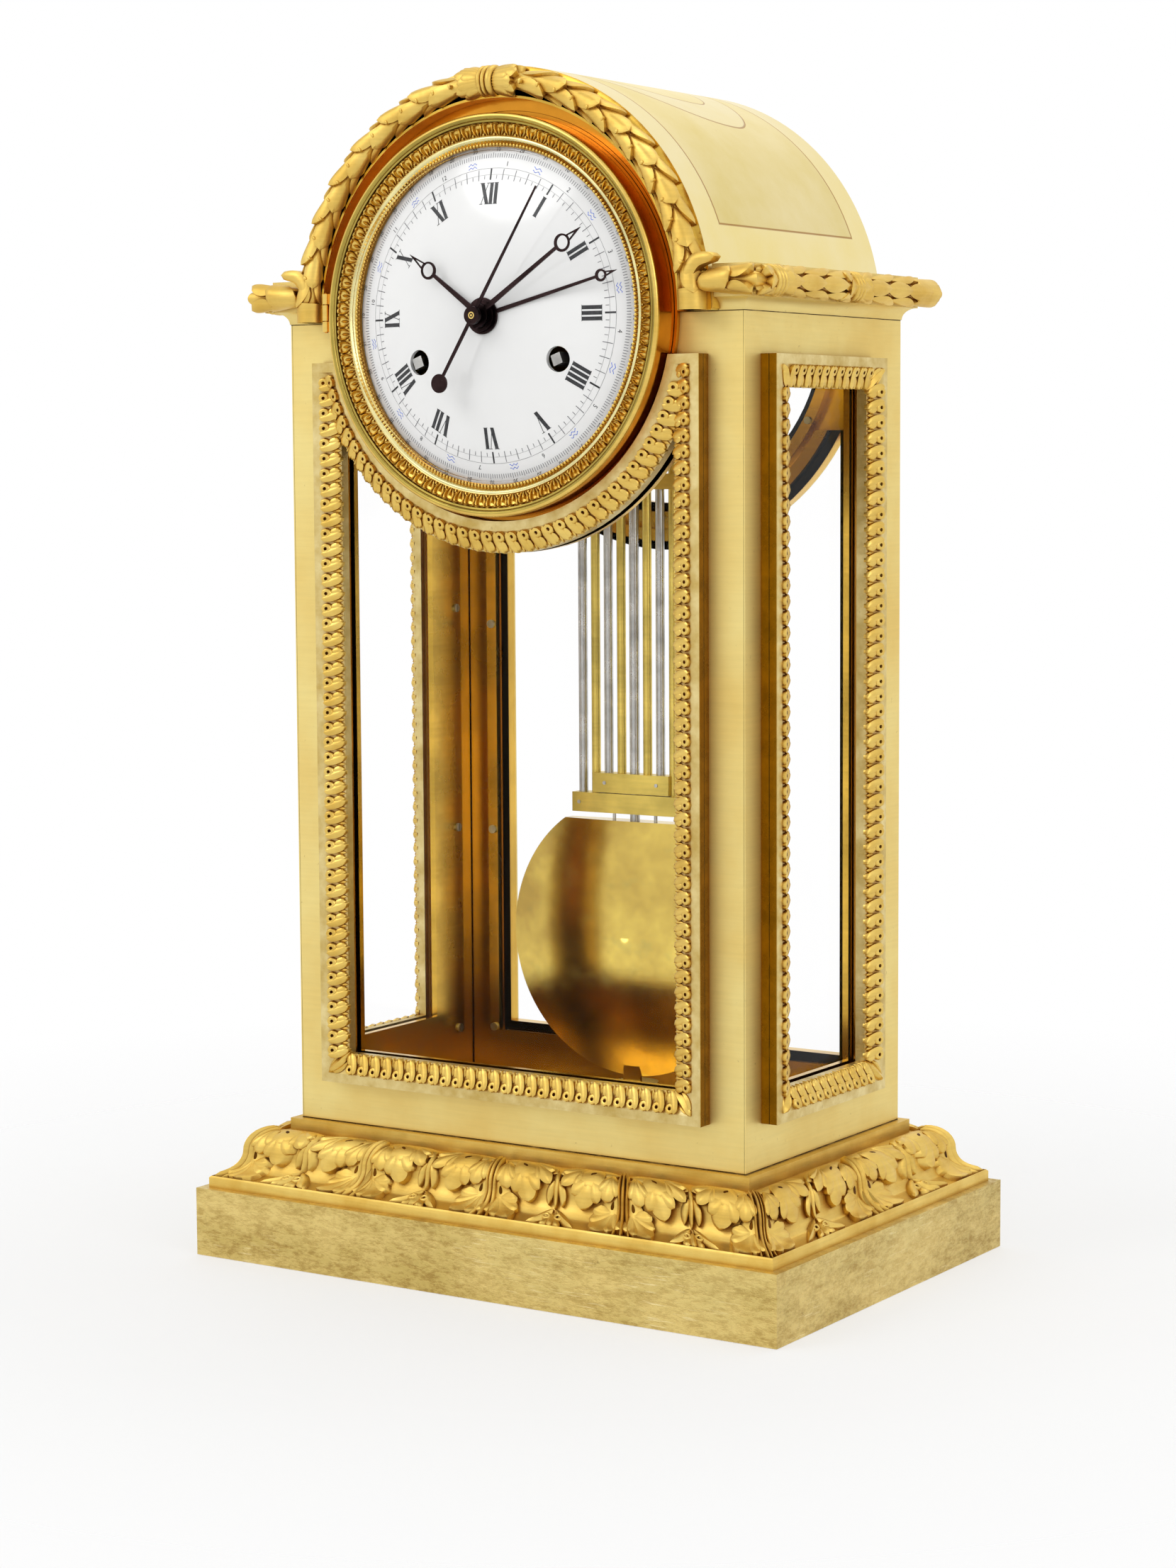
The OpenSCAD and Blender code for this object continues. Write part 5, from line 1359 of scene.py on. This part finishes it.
class CarveArch(bpy.types.Operator):
    """Builds the laurel arch over the dial, with its clasp and end leaves"""
    bl_idname = "clock.carve_arch"
    bl_label = "Carve Arch"

    def execute(self, context):
        step = context.scene.clock_carving.laurel_step
        gold = finish("carved_gilding")
        parts = [turned(self.round_bar(ARCH_CORE), 120, -90, 90)]
        lip = [(WELL_R + 3.6, ARCH_Y + 6.2), (WELL_R + 3.6, ARCH_Y + 0.4),
               (WELL_R + 4.4, ARCH_Y - 0.3), (WELL_R + 6.6, ARCH_Y - 0.3),
               (WELL_R + 6.6, ARCH_Y + 6.2)]
        parts.append(turned(lip, 160, -90, 90))
        collar = self.round_bar(4.6)
        parts += [turned(collar, 4, -90, -85), turned(collar, 4, 85, 90)]
        first, last = math.radians(LAUREL_FROM), math.radians(LAUREL_TO)
        count = round((last - first) / step)
        step = (last - first) / count
        top = np.array([0, 0, DIAL_Z])
        for way in (1, -1):
            unit = laurel_pattern(way, step * ARCH_RING).laid(arch_surface)
            parts.append(repeated(unit, True, gold, count, top, (0, way * step, 0),
                                  (0, way * first, 0)))
        parts += [(p + top, f) for p, f in clasp_pattern().laid(arch_surface)]
        mesh = joined("laurel_arch_leaves", parts, [gold], 45)
        finish_piece(add_object("laurel_arch_leaves", mesh), "case",
                     ["laurel_arch"])
        return {"FINISHED"}

    @staticmethod
    def round_bar(radius):
        """Outline of a bar bent along the middle line of the arch."""
        return [(ARCH_RING + radius * math.cos(a), ARCH_Y + radius * math.sin(a))
                for a in np.linspace(0, 2 * math.pi, 20, endpoint=False)]


class CarveTorus(bpy.types.Operator):
    """Builds the laurel torus round the sides of the case, with its ribbons"""
    bl_idname = "clock.carve_torus"
    bl_label = "Carve Torus"

    def execute(self, context):
        pitch = context.scene.clock_carving.torus_pitch / MM
        gold = finish("carved_gilding")
        core, out = TORUS_CORE, TORUS_OUT
        round_part = [(out + core * math.cos(a), TORUS_Z + core * math.sin(a))
                      for a in np.linspace(-math.pi / 2, math.pi / 2, 15)]
        profile = [(TORUS_INNER, TORUS_Z - core), *round_part, (TORUS_INNER, TORUS_Z + core)]
        ribbon = self.ribbon()
        count = round((2 * HALF_D - 8) / pitch)
        parts = []
        for way in (1, -1):
            corners = [(way * (VAULT_R + 0.2), -HALF_D, 0, -1), (way * HALF_W, -HALF_D, way, -1),
                       (way * HALF_W, HALF_D, way, 1), (way * TORUS_REAR_END, HALF_D, 0, 1)]
            parts.append(swept(corners, profile, False))
            x = way * (HALF_W + out)
            along, up = (0, way, 0), (0, 0, 1)
            unit = torus_pattern(way, pitch).laid(torus_surface)
            parts.append(repeated(unit, False, gold, count, (x, -HALF_D - 1, TORUS_Z),
                                  (0, pitch, 0), row_turn(along, up)))
            for carving, y in ((ribbon, -HALF_D + 3.0), (ribbon, 2.0),
                               (self.rear_leaves(way), HALF_D - 9.0)):
                parts += placed(carving.laid(torus_surface), (x, y, TORUS_Z), along, up)
            parts += placed(self.front_leaves(way).laid(torus_surface),
                            (way * VAULT_R, -HALF_D - out, TORUS_Z), (1, 0, 0), up)
            low, high = sorted((way * (VAULT_R - 2.6), way * (VAULT_R + 0.6)))
            parts.append(plain_box((low, -HALF_D - 4.6, CORNICE_LOW + 0.4),
                                   (high, -HALF_D + 0.5, TORUS_Z)))
            parts += self.junction(way)
        mesh = joined("laurel_torus_leaves", parts, [gold], 45)
        finish_piece(add_object("laurel_torus_leaves", mesh), "case",
                     ["laurel_torus"])
        return {"FINISHED"}

    @staticmethod
    def ribbon():
        """Slanted ribbon of three strands, with ragged leaves to each side."""
        c = Carving()
        for shift in (-2.0, 0, 2.0):
            c.leaf([(shift + 1.6, -6.6), (shift - 0.6, 0), (shift - 1.2, 6.6)], 1.7, 0.7, 1.9, 1.9,
                   0.0, rows=14, cols=4, strap=True)
        for side in (-1, 1):
            for n, b in enumerate((-5.0, -2.5, 0.0, 2.5, 5.0)):
                long = 9.5 if n % 2 else 7.4
                c.leaf([(side * 2.4, b * 0.75), (side * long * 0.6, b),
                        (side * long, b * 1.15 + side * 0.8)], 3.3, 0.4, 1.2, 2.4, 0.15, rows=10,
                       cols=4, widest=0.55, point=0.5)
        return c

    @staticmethod
    def rear_leaves(way):
        """Broad leaves that end the torus at the back."""
        c = Carving()
        for b, width in ((0, 7.5), (4.2, 5.0), (-4.2, 5.0)):
            c.leaf([(0, b), (way * 15.5, b * 0.7)], width, 0.35, 1.6, 2.0, 0.0, rows=12, cols=8,
                   widest=0.6, point=0.25)
        return c

    @staticmethod
    def front_leaves(way):
        """Leaves of the short return of the torus at the front."""
        c = Carving()
        for b in (4.4, -4.4):
            c.leaf([(way * -3.0, b), (way * 5, b), (way * 12.5, b)], 6.0, 0.4, -0.2, 1.9, 0.15,
                   rows=12, cols=8, widest=0.5, point=0.6)
        c.leaf([(way * -1.5, -2.2), (way * 4, 0.4), (way * 11.0, 1.4)], 7.2, 0.5, 0.6, 2.2, 0.2,
               rows=14, cols=8, widest=0.5, point=0.5)
        for b in (3.4, -3.2):
            c.leaf([(way * 7.0, b), (way * 12, b), (way * 18.0, b * 0.8)], 5.6, 0.5, 0.5, 2.4,
                   0.15, rows=12, cols=8, widest=0.5, point=0.5)
        return c

    @staticmethod
    def junction(way):
        """Large plain leaf that curls round the foot of the laurel arch."""
        c = Carving()
        left = VAULT_R - 5.6
        c.leaf([(left + 2.4, -5.0), (left + 0.2, 1.0), (left + 3.4, 6.2), (left + 10.4, 7.4)], 4.6,
               0.9, 0.3, 0.2, 0.0, rows=18, cols=8, widest=0.5, point=0.32, sink=4.0)
        parts = placed(c.parts, (0, VAULT_FRONT - 6.2, TORUS_Z), (1, 0, 0), (0, 0, 1))
        if way > 0:
            return parts
        return [(p * np.array([-1, 1, 1]), [tuple(reversed(face)) for face in f])
                for p, f in parts]


def placed(parts, start, along, across):
    """Parts of a straight pattern with their start, along and across where they are given."""
    x, y = np.array(along, float), np.array(across, float)
    turn = np.stack([x, y, np.cross(x, y)])
    return [(np.array(start) + points @ turn, faces) for points, faces in parts]


def leaf_row(unit, gold, pitch, start, end, across, out):
    """Row of leaves from start to end, whose band drops in the direction across."""
    along = np.cross(across, out)
    a, b = np.array(start, float), np.array(end, float)
    if np.dot(b - a, along) < 0:
        a, b = b, a
    length = np.linalg.norm(b - a)
    count = max(1, round((length - 2.0) / pitch))
    step = length / count
    first = a + along * (step / 2 - 1.4)
    return repeated(unit, False, gold, count, first, along * step, row_turn(along, across))


class CarveFrames(bpy.types.Operator):
    """Builds the leaf bands of the front and side window frames"""
    bl_idname = "clock.carve_frames"
    bl_label = "Carve Frames"

    def execute(self, context):
        gold = finish("band_gilding")
        unit = band_pattern().laid(sloped_band)
        corner = corner_pattern().laid(sloped_band)
        pitch = context.scene.clock_carving.band_pitch / MM
        for name, parts in (("front_frame_leaves", self.front(unit, corner, gold, pitch)),
                            ("side_frame_leaves", self.sides(unit, corner, gold, pitch))):
            mesh = joined(name, parts, [gold], 50)
            finish_piece(add_object(name, mesh), "case")
        return {"FINISHED"}

    @staticmethod
    def front(unit, corner, gold, pitch):
        """Leaf bands up the legs, along the foot and under the dial."""
        out, right, up = (0, -1, 0), (1, 0, 0), (0, 0, 1)
        x, y = FRAME_HIGH[0] - BORDER, FRAME_LOW[1]
        low, high = FRAME_LOW[2] + BORDER, FRAME_HIGH[2] - BORDER - 0.5
        foot = low + BAND_INSET
        end = x - BAND_INSET
        parts = [leaf_row(unit, gold, pitch, (-x, y, foot), (-x, y, high), right, out),
                 leaf_row(unit, gold, pitch, (x, y, foot), (x, y, high), (-1, 0, 0), out),
                 leaf_row(unit, gold, pitch, (-end, y, low), (end, y, low), up, out)]
        parts += placed(corner, (-x, y, low), right, up)
        parts += placed(corner, (x, y, low), up, (-1, 0, 0))
        ring = WELL_R + BORDER
        spread = math.radians(RING_SPREAD)
        count = round(spread * (ring + BAND / 2) / pitch)
        step = spread / count
        parts.append(repeated(placed(unit, (0, y, ring), right, up), True, gold, count,
                              (0, 0, DIAL_Z), (0, step, 0),
                              (0, math.pi - spread / 2 + step / 2, 0)))
        return parts

    @staticmethod
    def sides(unit, corner, gold, pitch):
        """Leaf bands round both side windows."""
        parts = []
        y0, y1 = SIDE_LOW[1] + BORDER, SIDE_HIGH[1] - BORDER
        z0, z1 = SIDE_LOW[2] + BORDER, SIDE_HIGH[2] - BORDER
        for way in (1, -1):
            out = (way, 0, 0)
            x = way * SIDE_HIGH[0]
            for start, end, across in (
                    ((x, y0, z0 + BAND_INSET), (x, y0, z1 - BAND_INSET), (0, 1, 0)),
                    ((x, y1, z0 + BAND_INSET), (x, y1, z1 - BAND_INSET), (0, -1, 0)),
                    ((x, y0 + BAND_INSET, z0), (x, y1 - BAND_INSET, z0), (0, 0, 1)),
                    ((x, y0 + BAND_INSET, z1), (x, y1 - BAND_INSET, z1), (0, 0, -1))):
                parts.append(leaf_row(unit, gold, pitch, start, end, across, out))
            for at, across in (((x, y0, z0), (0, 1, 0)), ((x, y1, z0), (0, -1, 0)),
                               ((x, y0, z1), (0, 1, 0)), ((x, y1, z1), (0, -1, 0))):
                along = np.cross(across, out)
                if (at[2] == z0) != (along[2] > 0):
                    across = (0, 0, 1) if at[2] == z0 else (0, 0, -1)
                    along = np.cross(across, out)
                parts += placed(corner, at, along, across)
        return parts


class TurnBezel(bpy.types.Operator):
    """Builds the bezel with its rings, beads and leaf band"""
    bl_idname = "clock.turn_bezel"
    bl_label = "Turn Bezel"

    def execute(self, context):
        sizes = context.scene.clock_carving
        gold = finish("bezel_gilding")
        y, sight = BEZEL_FRONT, BEZEL_SIGHT
        parts = [turned(self.section(), 288)]
        unit = [(leaned(points), faces) for points, faces in bezel_pattern().parts]
        unit = placed(unit, (0, y + 2.35, sight + 3.35), (1, 0, 0), (0, 0, 1))
        turn = 2 * math.pi / sizes.bezel_leaves
        parts.append(repeated(unit, True, gold, sizes.bezel_leaves, (0, 0, DIAL_Z), (0, turn, 0)))
        bead = Carving()
        bead.berry((0, 0), 0.58, 0.95, 7)
        unit = placed(bead.parts, (0, y + 3.45, sight + 0.72), (1, 0, 0), (0, 0, 1))
        turn = 2 * math.pi / sizes.bezel_beads
        parts.append(repeated(unit, True, gold, sizes.bezel_beads, (0, 0, DIAL_Z), (0, turn, 0)))
        mesh = joined("bezel_ring", parts, [gold], 35)
        finish_piece(add_object("bezel_ring", mesh), "bezel_door", ["bezel"])

        mesh = joined("bezel_knuckles", self.knuckles(), [gold], 40)
        finish_piece(add_object("bezel_knuckles", mesh), "bezel_door", ["bezel"])
        return {"FINISHED"}

    @staticmethod
    def section():
        """Outline of the bezel: drum, rounded edge, step, leaf band, cove and sight edge."""
        r, y, sight = BEZEL_R, BEZEL_FRONT, BEZEL_SIGHT
        edge = [(r - 1.1 + 1.1 * math.cos(a), y + 1.1 - 1.1 * math.sin(a))
                for a in np.linspace(0, 0.9 * math.pi, 12)]
        cove = [(sight + 1.75 + 1.35 * t, y + 3.0 - 0.75 * t - 0.45 * math.sin(math.pi * t))
                for t in np.linspace(1, 0, 6)]
        return ([(sight, y + 5), (sight + 3, y + 5), (sight + 6.4, y + 3.5), (r - 2, y + 4.5),
                 (r - 2, BEZEL_BACK), (r, BEZEL_BACK)] + edge
                + [(r - 2.35, y + 0.6), (r - 2.9, y + 0.75), (r - 3.0, y + 1.8),
                   (r - 3.5, y + 1.95), (r - 3.6, y + 2.0), (sight + 3.35, y + 2.85),
                   (sight + 3.25, y + 2.2)]
                + cove + [(sight + 1.4, y + 3.35), (sight, y + 3.6)])

    @staticmethod
    def knuckles():
        """Knuckles of the bezel, which turn on the hinge pin, with their straps."""
        x, y, tall = -BEZEL_R - 2.2, BEZEL_FRONT + 2.2, 3.4
        parts = []
        for low in (DIAL_Z - 3.3, DIAL_Z + 5.9):
            parts.append(upright((x, y), ((1.4, low), (1.4, low + tall)), 24))
            parts.append(plain_box((x, y - 0.6, low), (-BEZEL_R + 0.9, y + 0.6, low + tall)))
        return parts


class SetEye(bpy.types.Operator):
    """Sets the brass ring and pin in the collet of the seconds hand"""
    bl_idname = "clock.set_eye"
    bl_label = "Set Eye"

    def execute(self, context):
        y = box_mm("seconds_hand")[0][1]
        parts = []
        for inner, outer, proud in ((0.75, 1.15, 0.05), (0.0, 0.35, 0.05)):
            profile = [(inner + 0.001, y + 0.6), (inner + 0.001, y - proud), (outer, y - proud),
                       (outer, y + 0.6)]
            parts.append(turned(profile, 28))
        mesh = joined("hand_eye", parts, [finish("movement_brass")], 40)
        finish_piece(add_object("hand_eye", mesh), "seconds")
        return {"FINISHED"}


def plain_box(lo, hi):
    """Points and faces of a box between two corners."""
    points = np.array([(x, y, z) for z in (lo[2], hi[2]) for y in (lo[1], hi[1])
                       for x in (lo[0], hi[0])])
    faces = [(0, 2, 3, 1), (4, 5, 7, 6), (0, 1, 5, 4), (2, 6, 7, 3), (0, 4, 6, 2), (1, 3, 7, 5)]
    return points, faces


class Printing:
    """Flat marks on the dial, drawn as (right, up) from its middle and laid on the dome."""

    def __init__(self):
        self.points, self.faces = [], []

    def strip(self, left, right):
        """Strip between two rows of points."""
        start = len(self.points)
        self.points += [p for pair in zip(left, right) for p in pair]
        self.faces += [(start + 2 * i, start + 2 * i + 2, start + 2 * i + 3, start + 2 * i + 1)
                       for i in range(len(left) - 1)]

    def curve(self, angles, radii, width):
        """Line of a given width through places of (angle, radius)."""
        edges = [[((r + shift) * math.sin(a), (r + shift) * math.cos(a))
                  for a, r in zip(angles, radii)] for shift in (width / 2, -width / 2)]
        self.strip(*edges)

    def ring(self, radius, width):
        """Circle of a given width."""
        self.curve(np.linspace(0, 2 * math.pi, 361), np.full(361, radius), width)

    def turned(self, angle, rows):
        """Rows of points drawn upright over the middle, turned clockwise by an angle."""
        a = math.radians(angle)
        s, c = math.sin(a), math.cos(a)
        return [[(x * c + z * s, z * c - x * s) for x, z in row] for row in rows]

    def tick(self, angle, inner, outer, width):
        """Straight mark between two radii."""
        self.stroke(angle, 0, (0, inner), (0, outer), width, 3)

    def stroke(self, angle, radius, start, end, width, steps=5):
        """Stroke of a numeral that stands at a radius, its top outwards."""
        t = np.linspace(0, 1, steps)
        x = start[0] + (end[0] - start[0]) * t
        z = radius + start[1] + (end[1] - start[1]) * t
        self.strip(*self.turned(angle, [list(zip(x - width / 2, z)), list(zip(x + width / 2, z))]))

    def number(self, text, angle, radius, size):
        """Plain number that stands at a radius, its top outwards."""
        points, faces = number_shapes(text, size)
        start = len(self.points)
        self.points += self.turned(angle, [[(x, z + radius) for x, z in points]])[0]
        self.faces += [tuple(k + start for k in face) for face in faces]

    def mesh(self, name, material):
        """Mesh of the marks, laid just in front of the surface of the dial."""
        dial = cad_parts["dial"]
        points = []
        for x, z in self.points:
            hit, spot, _, _ = dial.ray_cast((x * MM, (DIAL_APEX - 20) * MM, (DIAL_Z + z) * MM),
                                            (0, 1, 0))
            y = spot[1] / MM if hit else DIAL_APEX + (x * x + z * z) / (2 * DIAL_DOME)
            points.append((x, y - 0.05, DIAL_Z + z))
        points = np.array(points)
        faces = []
        for face in self.faces:
            a, b, c = (points[face[k]] for k in (0, 1, 2))
            faces.append(face if np.cross(b - a, c - a)[1] < 0 else tuple(reversed(face)))
        return mesh_from(name, points, faces, [material], 0)


NUMERALS = ("XII", "I", "II", "III", "IIII", "V", "VI", "VII", "VIII", "IX", "X", "XI")
LETTER_WIDTHS = {"I": 1.8, "V": 3.6, "X": 3.6}


def draw_numeral(ink, text, angle, low, high):
    """Roman numeral in thick and thin strokes with flat serifs."""
    total = sum(LETTER_WIDTHS[k] for k in text)
    squeeze = min(1.0, 8.6 / total)
    x = -total * squeeze / 2
    tall = high - low
    for letter in text:
        w = LETTER_WIDTHS[letter] * squeeze
        mid = x + w / 2
        if letter == "I":
            ink.stroke(angle, low, (mid, 0), (mid, tall), 1.25 * squeeze)
            for z in (0.1, tall - 0.1):
                ink.stroke(angle, low, (mid, z - 0.1), (mid, z + 0.1), w * 0.9)
        else:
            cross = letter == "X"
            left, right = x + 0.75 * squeeze, x + w - 0.45 * squeeze
            foot = (right, left) if cross else (mid + 0.15, mid + 0.15)
            ink.stroke(angle, low, (foot[0], 0), (left, tall), 1.35 * squeeze)
            ink.stroke(angle, low, (foot[1], 0), (right, tall), 0.22)
            spots = [(left, tall - 0.1, 1.9), (right, tall - 0.1, 1.2)]
            if cross:
                spots += [(right, 0.1, 1.9), (left, 0.1, 1.2)]
            for at, z, wide in spots:
                ink.stroke(angle, low, (at, z - 0.1), (at, z + 0.1), wide * squeeze)
        x += w


def number_shapes(text, size):
    """Points and faces of a plain number, centred, in millimetres."""
    curve = bpy.data.curves.new("number", "FONT")
    curve.body = text
    curve.size = size
    curve.align_x = "CENTER"
    curve.align_y = "CENTER"
    curve.resolution_u = 2
    piece = add_object("number_on_bench", curve)
    graph = bpy.context.evaluated_depsgraph_get()
    mesh = bpy.data.meshes.new_from_object(piece.evaluated_get(graph), depsgraph=graph)
    points = [tuple(v.co[:2]) for v in mesh.vertices]
    faces = [tuple(p.vertices) for p in mesh.polygons]
    bpy.data.objects.remove(piece)
    bpy.data.curves.remove(curve)
    bpy.data.meshes.remove(mesh)
    return points, faces


class PrintDial(bpy.types.Operator):
    """Lays the minute ring, numerals, day ring and small signs on the dial"""
    bl_idname = "clock.print_dial"
    bl_label = "Print Dial"

    def execute(self, context):
        black, grey, blue = Printing(), Printing(), Printing()
        for n, text in enumerate(NUMERALS):
            draw_numeral(black, text, n * 30, NUMERAL_LOW, NUMERAL_HIGH)
        for n in range(60):
            if n % 5 == 0:
                black.tick(n * 6, MINUTE_LOW, MINUTE_HIGH, 0.6)
            else:
                grey.tick(n * 6, MINUTE_LOW, MINUTE_HIGH - 0.2, 0.26)
            grey.tick(n * 6 + 3, MINUTE_LOW + 0.3, MINUTE_LOW + 1.5, 0.22)
        grey.ring(MINUTE_HIGH + 0.1, 0.10)
        grey.ring(MINUTE_HIGH - 2.0, 0.08)
        for day in range(DAYS):
            grey.tick(day * 360 / DAYS, DAY_LOW, DAY_HIGH if day % 5 else DAY_HIGH + 0.3, 0.22)
        turn = 360 / MONTHS
        for month in range(MONTHS):
            for day, text in ((10, "10"), (20, "20"), (MONTH_DAYS, "30" if month % 2 else "31")):
                black.number(text, (month + day / MONTH_DAYS) * turn - 8, DAY_NUMBER_R, 1.9)
            black.number(str(month + 1), month * turn + 7, MONTH_NUMBER_R, 2.2)
            t = np.linspace(-1, 1, 15)
            wave = 0.28 * np.sin(t * (5 + month % 3) + month)
            for row in (-0.55, 0.55):
                blue.curve(math.radians(month * turn + 21) + t * 0.034, SIGN_R + row + wave, 0.24)
        for name, marks, kind in (("dial_markings", black, "dial_black"),
                                  ("dial_ticks", grey, "dial_grey"),
                                  ("dial_signs", blue, "dial_blue")):
            piece = add_object(name, marks.mesh(name, finish(kind)))
            finish_piece(piece, "case")
        return {"FINISHED"}


class SetStage(bpy.types.Operator):
    """Adds the pale floor, the soft lamps, the white surroundings and the camera"""
    bl_idname = "clock.set_stage"
    bl_label = "Set Stage"

    def execute(self, context):
        scene = context.scene
        corners = [(x * FLOOR_HALF, y * FLOOR_HALF, 0)
                   for x, y in ((-1, -1), (1, -1), (1, 1), (-1, 1))]
        mesh = mesh_from("floor", corners, [(0, 1, 2, 3)], [finish("stage_white")], 0)
        floor = add_object("floor", mesh)
        floor.location.z = -0.0002
        for name, place, size, power in LAMPS:
            lamp = bpy.data.lights.new(name, "AREA")
            lamp.shape = "DISK"
            lamp.size = size
            lamp.energy = power
            piece = add_object(name, lamp)
            piece.location = place
            piece.rotation_mode = "QUATERNION"
            piece.rotation_quaternion = (LAMP_AIM - Vector(place)).to_track_quat("-Z", "Y")
        self.surroundings(scene)
        self.camera(scene)
        scene.view_settings.view_transform = "Standard"
        return {"FINISHED"}

    @staticmethod
    def surroundings(scene):
        """White surroundings, softer for plain light than for what the camera sees."""
        world = bpy.data.worlds.new("studio")
        scene.world = world
        world.use_nodes = True
        s = Shader(world.node_tree)
        path = s.node("ShaderNodeLightPath").outputs
        seen = s.math("MAXIMUM", path["Is Camera Ray"],
                      s.math("MAXIMUM", path["Is Glossy Ray"], path["Is Transmission Ray"]))
        back = world.node_tree.nodes["Background"]
        back.inputs["Color"].default_value = (1.0, 1.0, 1.0, 1.0)
        s.put(back.inputs["Strength"], s.span(seen, 0, 1, 0.70, 1.0))

    @staticmethod
    def camera(scene):
        """Camera at the photograph's place, found by fitting the corners of the case."""
        turn, rise, roll = (math.radians(a) for a in CAMERA_ANGLES)
        back = Vector((math.sin(turn) * math.cos(rise), -math.cos(turn) * math.cos(rise),
                       math.sin(rise)))
        right = Vector((math.cos(turn), math.sin(turn), 0))
        up = back.cross(right)
        across = right * math.cos(roll) + up * math.sin(roll)
        upright = -right * math.sin(roll) + up * math.cos(roll)
        data = bpy.data.cameras.new("photo_camera")
        data.sensor_width = SENSOR
        data.lens = FOCAL_LENGTH_PX / PHOTO_HEIGHT_PX * SENSOR
        data.clip_start, data.clip_end = 0.01, 50
        camera = add_object("photo_camera", data)
        camera.rotation_mode = "QUATERNION"
        camera.rotation_quaternion = Matrix((across, upright, back)).transposed().to_quaternion()
        camera.location = CAMERA_PLACE
        scene.camera = camera


class ClockPanel(bpy.types.Panel):
    """Lists the steps that build the clock's looks"""
    bl_idname = "VIEW3D_PT_clock"
    bl_label = "Mantel Regulator"
    bl_space_type = "VIEW_3D"
    bl_region_type = "UI"
    bl_category = "Clock"

    def draw(self, context):
        layout = self.layout
        for group in (context.scene.clock_carving, context.scene.clock_finish):
            for name in group.__annotations__:
                layout.prop(group, name)
        for step in STEPS:
            layout.operator(step.bl_idname)


STEPS = (PaintFrame, CarveBase, CarveArch, CarveTorus, CarveFrames, TurnBezel, SetEye,
         PrintDial, SetStage)
CLASSES = (ClockCarving, ClockFinish, *STEPS, ClockPanel)


def register():
    """Registers the classes and hangs the settings on the scene."""
    for kind in CLASSES:
        bpy.utils.register_class(kind)
    bpy.types.Scene.clock_carving = bpy.props.PointerProperty(type=ClockCarving)
    bpy.types.Scene.clock_finish = bpy.props.PointerProperty(type=ClockFinish)


def unregister():
    """Takes the settings and the classes away again."""
    del bpy.types.Scene.clock_finish
    del bpy.types.Scene.clock_carving
    for kind in reversed(CLASSES):
        bpy.utils.unregister_class(kind)


def main():
    """Runs each step in order."""
    register()
    for step in STEPS:
        group, name = step.bl_idname.split(".")
        getattr(getattr(bpy.ops, group), name)()


if __name__ == "__main__":
    main()
